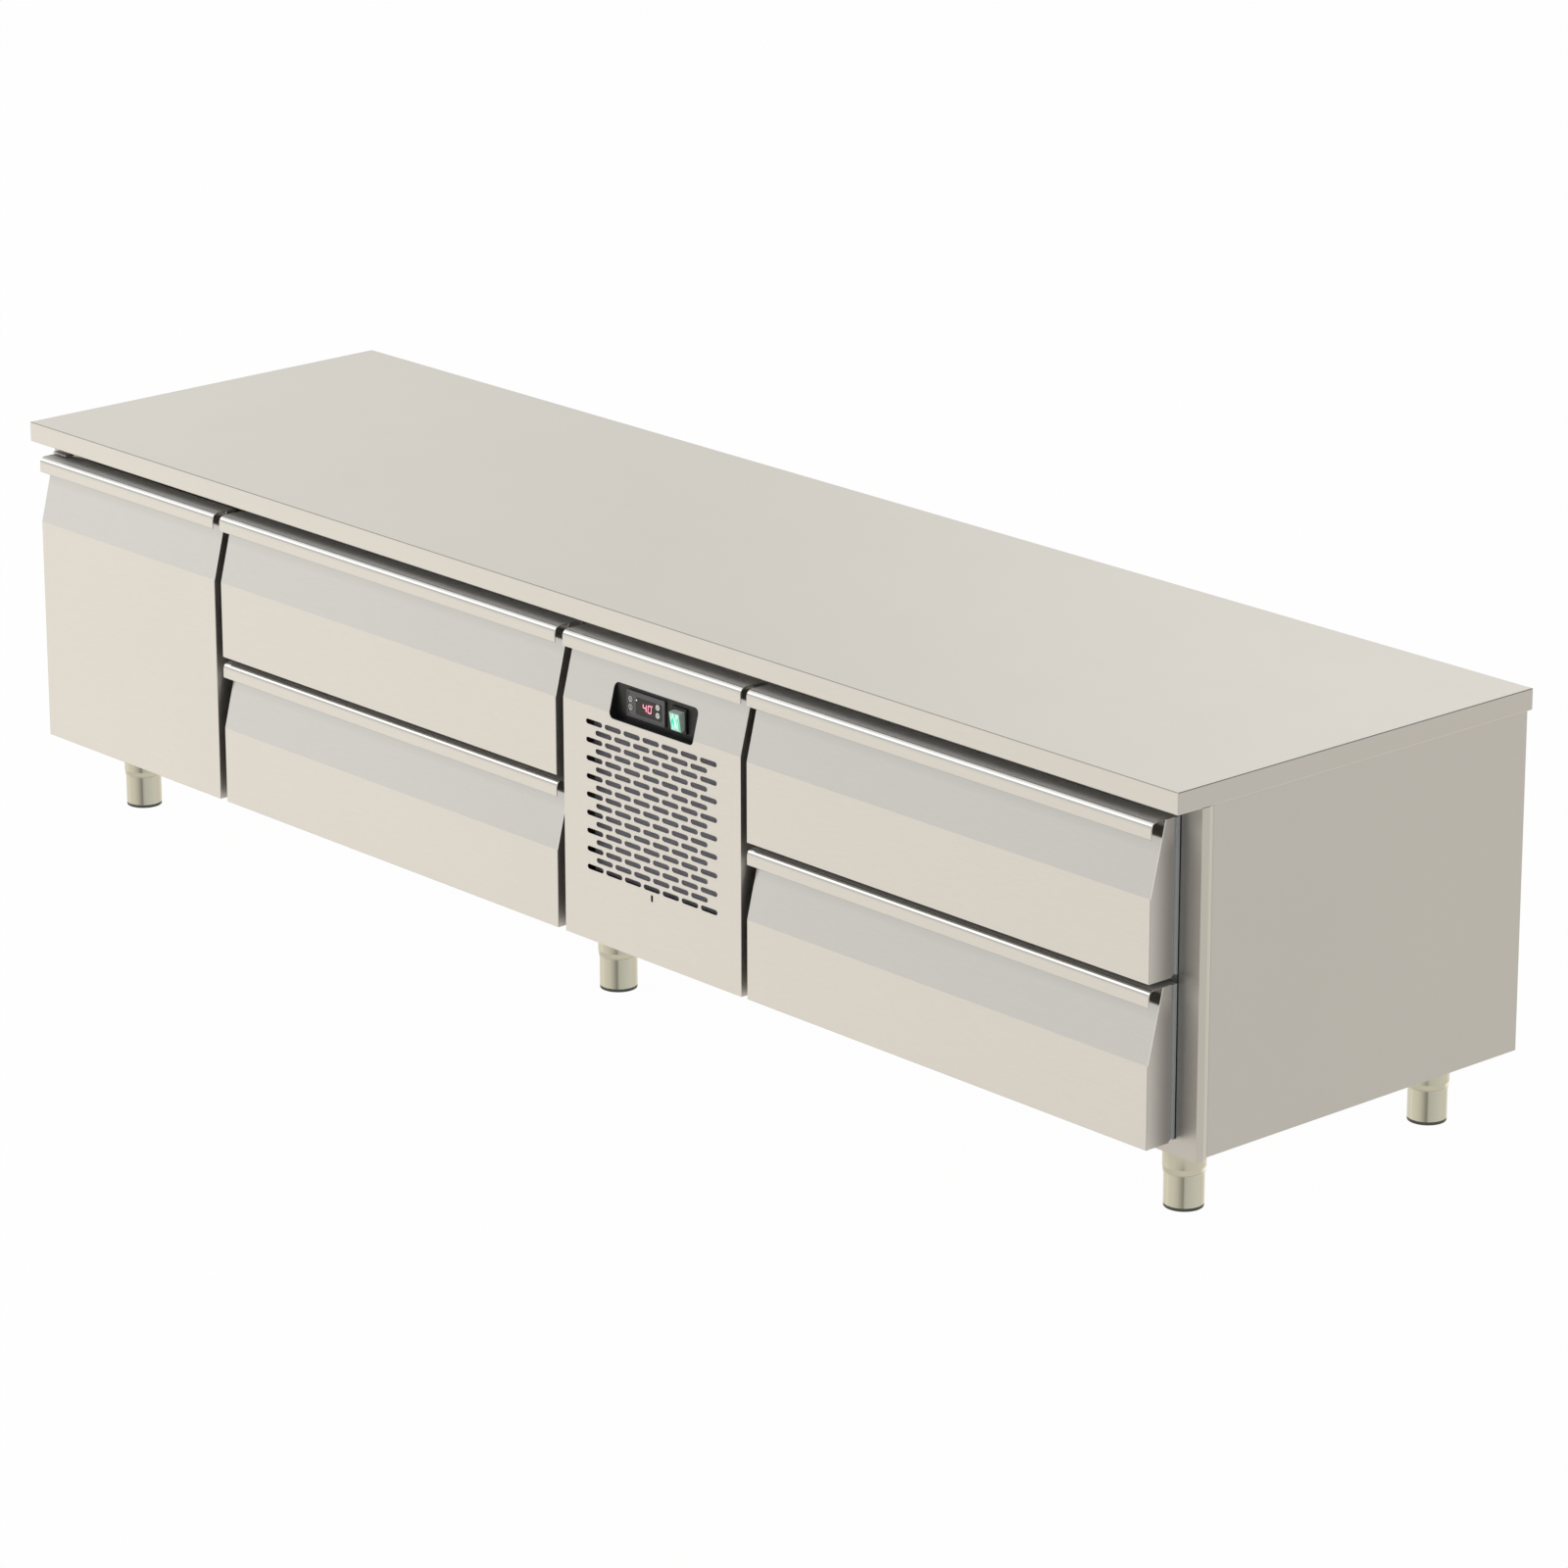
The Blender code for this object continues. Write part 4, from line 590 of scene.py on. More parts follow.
def sheet_front(name, colour, roughness):
    """Front steel: satin flange, cut sides and lip inside, with painted shade on them and in a band under
    each lip.
    """
    made = brushed_steel(name, colour, roughness, "X")
    tree = made.node_tree
    faces = normal_axes(tree)
    axes = object_axes(tree)
    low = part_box("compressor_panel")[0]
    up = rising(tree, faces["Z"], *FLANGE_TURN)
    down = falling(tree, faces["Z"], *UNDER_TURN)
    back = rising(tree, faces["Y"], *BACK_TURN)
    side = rising(tree, size_of(tree, faces["X"]), *SIDE_TURN)
    lay_value(tree, "Roughness", side, SIDE_ROUGHNESS)
    # painted shade: cut sides in the gaps between fronts get a darker tone
    lay_tone(tree, side, SIDE_SHADE_TONE)
    deeper_shade = rising(tree, axes["Y"], *(low.y + depth for depth in SIDE_SHADE_FADE))
    # painted shade: darker still towards the back of the gap
    lay_tone(tree, product(tree, (side, deeper_shade)), SIDE_BACK_SHADE_TONE)
    behind = rising(tree, axes["Y"], *(low.y + depth for depth in LIP_SHADE_DEPTH))
    for drawer in ("left_upper", "left_lower"):
        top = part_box(drawer + "_drawer_front")[1].z
        under_lip = rising(tree, axes["Z"], top - LIP_SHADE[1], top - LIP_SHADE[0])
        below_top = falling(tree, axes["Z"], top, top + HAIR)
        lay_tone(tree, product(tree, (behind, under_lip, below_top)), LIP_SHADE_TONE)
    depth = rising(tree, axes["Y"], low.y, low.y + FLANGE_SHADE_REACH)
    # painted shade: the flange under the worktop darkens towards the back
    lay_tone(tree, up, ramp_between(tree, depth, FLANGE_SHADE_FRONT_TONE, FLANGE_SHADE_BACK_TONE, 0, 1))
    lay_value(tree, "Roughness", up, FLANGE_ROUGHNESS)
    lay_value(tree, "Metallic", up, FLANGE_METALLIC)
    for hidden in (down, back):
        # painted shade: faces turned down or back get a darker tone
        lay_tone(tree, hidden, INSIDE_SHADE_TONE)
        lay_value(tree, "Roughness", hidden, SIDE_ROUGHNESS)
    return made


def grille_front(name, colour, roughness):
    """Front steel of the machine bay. Inside the slots, where little light comes, it is dark."""
    made = sheet_front(name, colour, roughness)
    tree = made.node_tree
    low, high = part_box("compressor_panel")
    axes = object_axes(tree)
    inside = rising(tree, axes["Y"], low.y + SLOT_WALL[0], low.y + SLOT_WALL[1])
    below = falling(tree, axes["Z"], *GRILLE_TOP)
    off_middle = less(tree, axes["X"], (low.x + high.x) / 2)
    within = falling(tree, size_of(tree, off_middle), *GRILLE_SIDE)
    wall = product(tree, (inside, below, within))
    # painted shade: the slot walls are dark, dull and not metallic
    lay_tone(tree, wall, SLOT_SHADE_TONE)
    lay_value(tree, "Roughness", wall, SLOT_ROUGHNESS)
    lay_value(tree, "Metallic", wall, 0.0)
    return made


def plastic(name, colour, roughness, scale=1500, bump=0.10, coat=0.0):
    """Moulded plastic with a fine spark-eroded grain."""
    made, tree, shader = new_material(name)
    grain = placed_noise(tree, scale)
    low = tuple(c * (1 - TONE_SPREAD) for c in colour)
    high = tuple(min(1, c * (1 + TONE_SPREAD)) for c in colour)
    tone = ramp_between(tree, grain.outputs["Fac"], low, high)
    tree.links.new(tone.outputs["Color"], shader.inputs["Base Color"])
    wide = placed_noise(tree, GLOSS_SCALE, detail=3.0)
    gloss = value_between(tree, wide.outputs["Fac"], roughness - GLOSS_SPREAD, roughness + GLOSS_SPREAD)
    tree.links.new(gloss, shader.inputs["Roughness"])
    if coat:
        socket(shader, "Coat Weight", coat)
        socket(shader, "Coat Roughness", COAT_ROUGHNESS)
    bump_from(tree, shader, grain.outputs["Fac"], GRAIN_DEPTH, bump)
    return made


def glow(name, colour, strength, base=(0.02, 0.02, 0.02)):
    """Lit plastic: its light is a little uneven, as over a lamp."""
    made, tree, shader = new_material(name)
    noise = placed_noise(tree, GLOW_SCALE)
    low = tuple(c * GLOW_DIM for c in colour)
    tone = ramp_between(tree, noise.outputs["Fac"], low, colour)
    tree.links.new(tone.outputs["Color"], shader.inputs["Emission Color"])
    socket(shader, "Emission Strength", strength)
    socket(shader, "Base Color", (*base, 1))
    socket(shader, "Roughness", GLOW_ROUGHNESS)
    return made


def rocker_glow():
    """Green light behind a ribbed lens: pale streaks up and down, in patches of different strength."""
    made, tree, shader = new_material("green_lamp")
    streaks = placed_noise(tree, ROCKER_STREAK_SCALE, ROCKER_STREAK_STRETCH, 1.0)
    tone = ramp_between(tree, streaks.outputs["Fac"], *ROCKER_GREENS, *ROCKER_STREAK_SPAN)
    tree.links.new(tone.outputs["Color"], shader.inputs["Emission Color"])
    patches = placed_noise(tree, ROCKER_PATCH_SCALE)
    strength = value_between(tree, patches.outputs["Fac"], *ROCKER_STRENGTH)
    tree.links.new(strength, shader.inputs["Emission Strength"])
    socket(shader, "Base Color", (*ROCKER_BASE, 1))
    socket(shader, "Roughness", ROCKER_ROUGHNESS)
    return made


def clear_plastic():
    """Clear moulded plastic, a little smoky, with faint flow marks."""
    made, tree, shader = new_material("clear_plastic")
    flow = placed_noise(tree, CLEAR_FLOW_SCALE, CLEAR_FLOW_STRETCH).outputs["Fac"]
    tree.links.new(ramp_between(tree, flow, *CLEAR_TONES).outputs["Color"], shader.inputs["Base Color"])
    tree.links.new(value_between(tree, flow, *CLEAR_ROUGHNESS), shader.inputs["Roughness"])
    socket(shader, "Transmission Weight", CLEAR_TRANSMISSION)
    socket(shader, "IOR", CLEAR_IOR)
    return made


def make_materials():
    return {
        "front": sheet_front("front_steel", SHEET_COLOUR, 0.15),
        "grille": grille_front("grille_steel", SHEET_COLOUR, 0.15),
        # worktop: the second colour is painted shade on its end faces
        "top": worktop_steel(SHEET_COLOUR, (0.56, 0.545, 0.52), 0.16),
        # frame: the strip and joggle colours are painted shade and painted light
        "frame": frame_steel((0.62, 0.605, 0.58), (0.60, 0.58, 0.54), (0.66, 0.65, 0.60), 0.38),
        # painted shade: the side walls are a darker copy of the sheet steel
        "side": brushed_steel("side_steel", (0.57, 0.555, 0.53), 0.22, "Z"),
        "back": brushed_steel("back_steel", (0.58, 0.57, 0.54), 0.42, "X", 0.015, bump=0.02),
        "liner": brushed_steel("liner_steel", (0.66, 0.66, 0.64), 0.30, "Y", 0.02),
        "rail": brushed_steel("rail_steel", (0.60, 0.60, 0.60), 0.25, "Y", 0.02),
        "leg": brushed_steel("leg_steel", (0.622, 0.61, 0.507), 0.09, "Z", 0.01),
        "zinc": brushed_steel("plated_steel", (0.55, 0.56, 0.57), 0.30, "", 0.06),
        "gasket": plastic("gasket_rubber", (0.42, 0.445, 0.465), 0.45, 900, 0.05),
        "black": plastic("black_plastic", (0.010, 0.010, 0.011), 0.38),
        "pad": plastic("pad_plastic", (0.12, 0.13, 0.12), 0.55),
        "white": plastic("white_plastic", (0.98, 0.99, 1.0), 0.45, bump=0.03),
        "fins": brushed_steel("fin_aluminium", (0.41, 0.41, 0.48), 0.60, "Z", 0.03, metallic=0.1),
        "can": plastic("can_enamel", (0.012, 0.012, 0.013), 0.28, 300, 0.15, coat=0.4),
        "fan": plastic("fan_plastic", (0.03, 0.03, 0.032), 0.42),
        "bezel": plastic("bezel_plastic", (0.125, 0.125, 0.138), 0.40),
        "glass": plastic("smoked_glass", (0.016, 0.014, 0.013), 0.30, 700, 0.01),
        "ghost": plastic("unlit_segment", (0.030, 0.024, 0.020), 0.30),
        "ink": plastic("pale_ink", (0.87, 0.90, 0.94), 0.50),
        "dark_ink": plastic("dark_ink", (0.03, 0.035, 0.04), 0.50),
        "red": glow("red_segment", (1.0, 0.28, 0.40), 2.6, (0.10, 0.01, 0.02)),
        "warm": glow("warm_lamp", (1.0, 0.95, 0.74), 1.8),
        "green": rocker_glow(),
        "clear": clear_plastic(),
        "copper": brushed_steel("copper", (0.72, 0.38, 0.24), 0.28, "", 0.06),
    }


def dress_nodes(frame, m):
    """Give each solid its finished material."""
    for name, obj in frame["nodes"].items():
        if name == "worktop":
            kind = "top"
        elif name == "compressor_panel":
            kind = "grille"
        elif name.endswith("_front") and "leg" not in name and "foot" not in name:
            kind = "front"
        elif name == "front_frame":
            kind = "frame"
        elif name in ("left_side_wall", "right_side_wall"):
            kind = "side"
        elif name in ("insulated_tub", "rear_vent_cover"):
            kind = "back"
        elif name.endswith("_divider") or name.endswith("drawer_frame") or name == "evaporator":
            kind = "liner"
        elif "_slide_" in name:
            kind = "rail"
        elif name.startswith(("leg_sleeve", "foot_")):
            kind = "leg"
        elif "bracket" in name or name == "shelf":
            kind = "zinc"
        elif name.endswith("gasket"):
            kind = "gasket"
        elif name == "controller_housing":
            kind = "bezel"
        elif name in ("control_tray", "switch_housing") or name.startswith("left_") and "key" in name:
            kind = "black"
        elif "key" in name:
            kind = "white"
        elif name == "condenser":
            kind = "fins"
        elif name == "compressor":
            kind = "can"
        elif name.endswith("_fan"):
            kind = "fan"
        elif name == "switch_rocker":
            kind = "clear"
        else:
            raise ValueError(name)
        for slot in obj.material_slots:
            slot.material = m[kind]


def add_segment(bm, ends, stroke, place):
    """One bar of a seven-segment digit: a long hexagon between two points."""
    (x0, z0), (x1, z1) = ends
    length = math.hypot(x1 - x0, z1 - z0)
    along = ((x1 - x0) / length, (z1 - z0) / length)
    across = (-along[1], along[0])
    half = stroke / 2
    corners = ((HAIR, 0), (half, half), (length - half, half), (length - HAIR, 0))
    corners += ((length - half, -half), (half, -half))
    slanted = []
    for forward, side in corners:
        x = x0 + along[0] * forward + across[0] * side
        z = z0 + along[1] * forward + across[1] * side
        slanted.append((x + DIGIT_SLANT * (z - DIGIT_BOTTOM), z))
    add_prism(bm, slanted, -HAIR, 0, place)


def add_digit(bm, left, digit, place):
    half = DIGIT_STROKE / 2
    x0, x1 = left + half, left + DIGIT_WIDTH - half
    low = DIGIT_BOTTOM + half
    high = DIGIT_BOTTOM + DIGIT_HEIGHT - half
    mid = (low + high) / 2
    ends = {
        "a": ((x0, high), (x1, high)),
        "b": ((x1, high), (x1, mid)),
        "c": ((x1, mid), (x1, low)),
        "d": ((x0, low), (x1, low)),
        "e": ((x0, mid), (x0, low)),
        "f": ((x0, high), (x0, mid)),
        "g": ((x0, mid), (x1, mid)),
    }
    for name in SEGMENTS[digit]:
        add_segment(bm, ends[name], DIGIT_STROKE, place)


def dress_controller(m):
    """Smoked window with its lamp and digits."""
    low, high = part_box("controller_housing")
    centre_x, centre_z = (low.x + high.x) / 2, (low.z + high.z) / 2
    floor = low.y + BEZEL_SINK
    face = floor - SKIN
    bm = bmesh.new()
    across = (centre_x + GLASS_LEFT, centre_x + GLASS_RIGHT)
    upright = (centre_z + GLASS_BOTTOM, centre_z + GLASS_TOP)
    add_prism(bm, rounded_rectangle(across, upright, GLASS_CORNER), face, floor - HAIR / 2, along_y)
    piece("controller_window", bm, CABINET, m["glass"])

    def on_glass(x, z, y):
        return (centre_x + x, face + y, centre_z + z)

    lit, unlit = bmesh.new(), bmesh.new()
    for left, digit, shines in DIGIT_PLACES:
        add_digit(lit if shines else unlit, left, digit, on_glass)
    dot = ((0, HAIR), (DOT_RADIUS, HAIR), (DOT_RADIUS, 0), (0, 0))
    add_turned(lit, dot, on_glass(DOT_X, DOT_Z, 0), (0, -1, 0), DOT_SEGMENTS)
    piece("display_digits", lit, CABINET, m["red"])
    piece("display_unlit_digit", unlit, CABINET, m["ghost"])
    bm = bmesh.new()
    dome = ((0, LAMP_RISE), (LAMP_RADIUS / 2, LAMP_SHOULDER), (LAMP_RADIUS, 0), (0, 0))
    add_turned(bm, dome, on_glass(LAMP_X, LAMP_Z, 0), (0, -1, 0), DOT_SEGMENTS)
    piece("controller_lamp", bm, CABINET, m["warm"])


def dress_keys(m):
    """Marks on the keys. The left ones are dark with pale rings and bars, the right ones carry dark arrows.
    """
    for side in ("left", "right"):
        for level in ("upper", "lower"):
            name = side + "_" + level + "_key"
            low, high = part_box(name)
            x, z = (low.x + high.x) / 2, (low.z + high.z) / 2
            radius = (high.x - low.x) / 2
            bm = bmesh.new()
            if side == "left":
                inner, outer = (share * radius for share in KEY_RING_SHARES)
                profile = ((inner, 0), (inner, HAIR), (outer, HAIR), (outer, 0))
                add_turned(bm, profile, (x, low.y, z), (0, -1, 0), KEY_SEGMENTS)
                bar, reach = (share * radius for share in KEY_BAR_SHARES)
                for degrees in KEY_BAR_TURNS[level]:
                    c, s = math.cos(math.radians(degrees)), math.sin(math.radians(degrees))
                    corners = ((-reach, -bar), (reach, -bar), (reach, bar), (-reach, bar))
                    outline = [(x + c * a - s * b, z + s * a + c * b) for a, b in corners]
                    add_prism(bm, outline, low.y - HAIR, low.y + HAIR, along_y)
                piece(name + "_mark", bm, name + "_button", m["ink"])
            else:
                up = 1 if level == "upper" else -1
                tip, base, half = (share * radius for share in KEY_ARROW_SHARES)
                outline = ((x - half, z + up * base), (x + half, z + up * base), (x, z + up * tip))
                add_prism(bm, outline, low.y - HAIR, low.y + HAIR, along_y)
                piece(name + "_mark", bm, name + "_button", m["dark_ink"])


def make_rocker(m):
    """Clear block of the rocker with a ribbed green lens in its front, tilted about its cross axis."""
    low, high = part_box("switch_housing")
    centre_x, centre_z = (low.x + high.x) / 2, (low.z + high.z) / 2
    pivot = Vector((centre_x, low.y + ROCKER_PIVOT, centre_z))
    turn = Matrix.Rotation(ROCKER_TILT, 3, "X")
    front = low.y - ROCKER_PROUD

    def tilted(bm):
        bmesh.ops.rotate(bm, verts=bm.verts[:], cent=pivot, matrix=turn)
        return bm

    x = (centre_x - ROCKER_HALF_WIDTH, centre_x + ROCKER_HALF_WIDTH)
    z = (centre_z - ROCKER_HALF_HEIGHT, centre_z + ROCKER_HALF_HEIGHT)
    bm = bmesh.new()
    add_block(bm, x, (front, pivot.y + 2 * HAIR), z)
    block = piece("rocker_block", tilted(bm), "rocker", m["clear"], bevel=ROCKER_EDGE)
    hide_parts("switch_rocker")
    bm = bmesh.new()
    inset = 2 * ROCKER_EDGE
    span = x[1] - x[0] - 2 * inset
    add_block(bm, (x[0] + inset, x[1] - inset), (front - HAIR, front + HAIR), (z[0] + inset, z[1] - inset))
    for i in range(ROCKER_RIBS):
        rib_x = x[0] + inset + span * (i + 0.5) / ROCKER_RIBS
        outline = []
        for k in range(HALF_TURN + 1):
            angle = math.pi * k / HALF_TURN
            rise = ROCKER_RIB_RISE * math.sin(angle)
            outline.append((rib_x + ROCKER_RIB_RADIUS * math.cos(angle), front - rise))
        add_prism(bm, outline, z[0] + 2 * inset, z[1] - 2 * inset, along_z)
    piece("rocker_lens", tilted(bm), "rocker", m["green"])


def arc(centre, radius, start, end, steps):
    """Points on an arc of a profile, at angles in degrees."""
    angles = [math.radians(start + (end - start) * i / steps) for i in range(steps + 1)]
    return [(centre[0] + radius * math.cos(t), centre[1] + radius * math.sin(t)) for t in angles]


def make_sleeve(leg, m):
    """Fixed tube of a leg: welded flange, necked mouth and rolled rim. The foot slides out of it."""
    low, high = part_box("leg_sleeve_" + leg)
    foot_low, foot_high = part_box("foot_" + leg)
    bore = (foot_high.x - foot_low.x) / 2 + HAIR
    flange = (high.x - low.x) / 2
    neck = bore + RIM_RADIUS
    under = high.z - FLANGE_SHEET
    profile = [(0, high.z), (flange - HAIR, high.z), (flange, high.z - HAIR), (flange, under)]
    weld = (SLEEVE_RADIUS + WELD, under - WELD)
    profile += arc(weld, WELD, *WELD_ARC)
    rim = low.z + RIM_RADIUS
    neck_low = rim + NECK_CLEAR
    for i in range(NECK_STEPS + 1):
        share = i / NECK_STEPS
        bend = (1 - math.cos(math.pi * share)) / 2
        height = NECK_TOP + (neck_low - NECK_TOP) * share
        profile.append((SLEEVE_RADIUS + (neck - SLEEVE_RADIUS) * bend, height))
    profile += arc((bore, rim), RIM_RADIUS, *RIM_ARC)
    profile += [(bore, under - FLANGE_SHEET), (0, under - FLANGE_SHEET)]
    bm = bmesh.new()
    add_turned(bm, profile, ((low.x + high.x) / 2, (low.y + high.y) / 2, 0), (0, 0, 1), LEG_SEGMENTS)
    sleeve = piece("sleeve_tube_" + leg, bm, CABINET, m["leg"])
    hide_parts("leg_sleeve_" + leg)


def make_foot(leg, m):
    """Adjustable tube of a leg with its plastic pad."""
    low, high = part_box("foot_" + leg)
    radius = (high.x - low.x) / 2
    centre = ((low.x + high.x) / 2, (low.y + high.y) / 2, 0)
    body = "adjustable_foot_" + leg
    bottom = PAD_HEIGHT + 2 * HAIR
    profile = [(0, high.z), (radius - PAD_EDGE, high.z), (radius, high.z - PAD_EDGE)]
    profile += [(radius, bottom + PAD_STEP), (radius - PAD_STEP, bottom), (0, bottom)]
    bm = bmesh.new()
    add_turned(bm, profile, centre, (0, 0, 1), LEG_SEGMENTS)
    tube_piece = piece("foot_tube_" + leg, bm, body, m["leg"])
    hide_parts("foot_" + leg)
    pad = radius - PAD_STEP
    profile = [(0, 0), (pad - PAD_EDGE, 0), (pad - PAD_CORNER, PAD_CORNER), (pad, PAD_EDGE)]
    profile += [(pad, PAD_HEIGHT), (pad - PAD_STEP, PAD_HEIGHT + HAIR), (0, PAD_HEIGHT + HAIR)]
    bm = bmesh.new()
    add_turned(bm, profile, centre, (0, 0, 1), LEG_SEGMENTS)
    piece("pad_" + leg, bm, body, m["pad"])


def dress_legs(m):
    """Round legs with their pads, and the screws of each leg's flange."""
    bm = bmesh.new()
    for leg in LEGS:
        make_sleeve(leg, m)
        make_foot(leg, m)
        low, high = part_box("leg_sleeve_" + leg)
        centre = (low + high) / 2
        reach = (high.x - low.x) / 2 - FLANGE_SCREW_INSET
        for k in range(4):
            angle = math.radians(45 + 90 * k)
            x, y = centre.x + reach * math.cos(angle), centre.y + reach * math.sin(angle)
            add_screw(bm, (x, y, high.z - FLANGE_SHEET), (0, 0, -1), SMALL_SCREW)
    piece("leg_flange_screws", bm, CABINET, m["zinc"])


def dress_rear(m):
    """Screws round the rear vent cover and on the hinge brackets."""
    low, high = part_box("rear_vent_cover")
    bm = bmesh.new()
    for x in (low.x + COVER_SCREW_INSET, high.x - COVER_SCREW_INSET):
        for share in COVER_SCREW_SHARES:
            z = low.z + COVER_SCREW_INSET + (high.z - low.z - 2 * COVER_SCREW_INSET) * share
            add_screw(bm, (x, high.y, z), (0, 1, 0), SCREW)
    piece("rear_cover_screws", bm, CABINET, m["zinc"])
    bm = bmesh.new()
    for word in ("upper", "lower"):
        low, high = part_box(word + "_hinge_bracket")
        z = high.z - BRACKET_SCREW_DROP if word == "upper" else low.z + BRACKET_SCREW_DROP
        for share in BRACKET_SCREW_SHARES:
            place = (low.x + (high.x - low.x) * share, high.y - BRACKET_SHEET, z)
            add_screw(bm, place, (0, -1, 0), SMALL_SCREW)
    piece("hinge_bracket_screws", bm, CABINET, m["zinc"])


def dress_door(m):
    """Pressed inner panel on the back of the door, inside its gasket."""
    low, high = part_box("door_front")
    x = (low.x + DOOR_PANEL_INSET, high.x - DOOR_PANEL_INSET)
    z = (low.z + DOOR_PANEL_INSET, high.z - DOOR_PANEL_INSET)
    bm = bmesh.new()
    loops = []
    for inset, depth in PANEL_SECTION_SHARES:
        step = inset * PANEL_RISE
        corner = max(PANEL_CORNER - step, PANEL_RISE)
        across, upright = (x[0] + step, x[1] - step), (z[0] + step, z[1] - step)
        shape = rounded_rectangle(across, upright, corner, PANEL_STEPS)
        loops.append([bm.verts.new((a, high.y + depth * PANEL_RISE, b)) for a, b in shape])
    for loop, after in zip(loops, loops[1:]):
        for i in range(len(loop)):
            j = (i + 1) % len(loop)
            bm.faces.new((loop[i], loop[j], after[j], after[i]))
    bm.faces.new(loops[0])
    bm.faces.new(loops[-1])
    piece("door_inner_panel", bm, "door", m["liner"], sharp=50)


def dress_drawers(m):
    """Inner skin on the back of each drawer front."""
    for name in DRAWERS:
        low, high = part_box(name + "_drawer_front")
        x = (low.x + DRAWER_SKIN_INSET, high.x - DRAWER_SKIN_INSET)
        z = (low.z + DRAWER_SKIN_INSET, high.z - DRAWER_SKIN_INSET)
        bm = bmesh.new()
        outline = rounded_rectangle(x, z, PANEL_CORNER, PANEL_STEPS)
        add_prism(bm, outline, high.y - HAIR, high.y + HAIR, along_y)
        piece(name + "_inner_skin", bm, name + "_drawer", m["liner"])


def dress_slides(m):
    """Ball cages on the middle members of the drawer slides."""
    ball = [(0, -BALL_RADIUS)]
    for i in range(1, HALF_TURN):
        angle = math.pi * i / HALF_TURN
        ball.append((BALL_RADIUS * math.sin(angle), -BALL_RADIUS * math.cos(angle)))
    ball.append((0, BALL_RADIUS))
    for name in DRAWERS:
        for side in ("left", "right"):
            low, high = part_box(name + "_slide_" + side)
            bm = bmesh.new()
            towards = 1 if side == "left" else -1
            face = (high.x if side == "left" else low.x) - towards * BALL_SINK
            for z in (low.z + BALL_RADIUS, high.z - BALL_RADIUS):
                for k in range(BALLS):
                    centre = (face, low.y + BALL_START + k * BALL_PITCH, z)
                    add_turned(bm, ball, centre, (0, 0, 1), BALL_SEGMENTS)
            piece(name + "_slide_balls_" + side, bm, name + "_middle_rail_" + side, m["zinc"])


def dress_evaporator(m):
    """Wire guard in front of the evaporator's fan."""
    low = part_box("evaporator")[0]
    fan = box_middle("evaporator_fan")
    y = low.y - GUARD_STAND
    for i in range(GUARD_RINGS):
        r = GUARD_RADIUS * (i + 1) / GUARD_RINGS
        points = []
        for k in range(2 * HALF_TURN):
            angle = math.pi * k / HALF_TURN
            points.append((fan.x + r * math.cos(angle), y, fan.z + r * math.sin(angle)))
        tube("evaporator_guard_ring_" + str(i), points, GUARD_WIRE, CABINET, m["zinc"], cyclic=True)
    behind = y + GUARD_WIRE
    reaches = [(share * GUARD_RADIUS, behind) for share in SPOKE_SHARES]
    reaches.append((GUARD_RADIUS + GUARD_STAND, low.y + HAIR))
    for k in range(4):
        angle = math.radians(45 + 90 * k)
        c, s = math.cos(angle), math.sin(angle)
        points = [(fan.x + r * c, depth, fan.z + r * s) for r, depth in reaches]
        tube("evaporator_guard_spoke_" + str(k), points, GUARD_WIRE, CABINET, m["zinc"])


def dress_machine(m):
    """Return bends at the condenser's right end, and the copper lines of the compressor."""
    low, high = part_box("condenser")
    coil_bottom = high.z - COIL_HEIGHT
    pitch = COIL_HEIGHT / (2 * COIL_BENDS)
    depth_places = [low.y + share * COIL_DEPTH for share in COIL_DEPTH_SHARES]
    for column, y in enumerate(depth_places):
        for k in range(COIL_BENDS - column):
            first = coil_bottom + pitch * (2 * k + 0.5 + column)
            second = first + pitch
            near, far = (high.x + share * pitch for share in BEND_SHARES)
            points = [
                (high.x - HAIR, y, first),
                (near, y, first),
                (far, y, (first + second) / 2),
                (near, y, second),
                (high.x - HAIR, y, second),
            ]
            name = "condenser_bend_" + str(column) + "_" + str(k)
            tube(name, points, COIL_TUBE, CABINET, m["copper"])
    can_low, can_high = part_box("compressor")
    can = (can_low + can_high) / 2
    can.z = can_high.z - CAN_SHOULDER
    discharge = [can + Vector(step) for step in DISCHARGE_STEPS]
    discharge[-1].z = high.z - DISCHARGE_DROP
    inlet = Vector((high.x, depth_places[1], high.z))
    discharge += [inlet + Vector(step) for step in INLET_STEPS]
    tube("discharge_line", discharge, DISCHARGE_TUBE, CABINET, m["copper"])
    suction = [can + Vector(step) for step in SUCTION_STEPS]
    tube("suction_line", suction, SUCTION_TUBE, CABINET, m["copper"])


def make_camera():
    data = bpy.data.cameras.new("camera")
    data.sensor_width = CAMERA_SENSOR
    data.lens = CAMERA_LENS
    data.clip_end = CAMERA_REACH
    camera = bpy.data.objects.new("camera", data)
    right, down, look = Vector(CAMERA_RIGHT), Vector(CAMERA_DOWN), Vector(CAMERA_LOOK)
    turn = Matrix((right, -down, -look)).transposed()
    camera.matrix_world = Matrix.Translation(CAMERA_PLACE) @ turn.to_4x4()
    bpy.context.scene.collection.objects.link(camera)
    bpy.context.scene.camera = camera


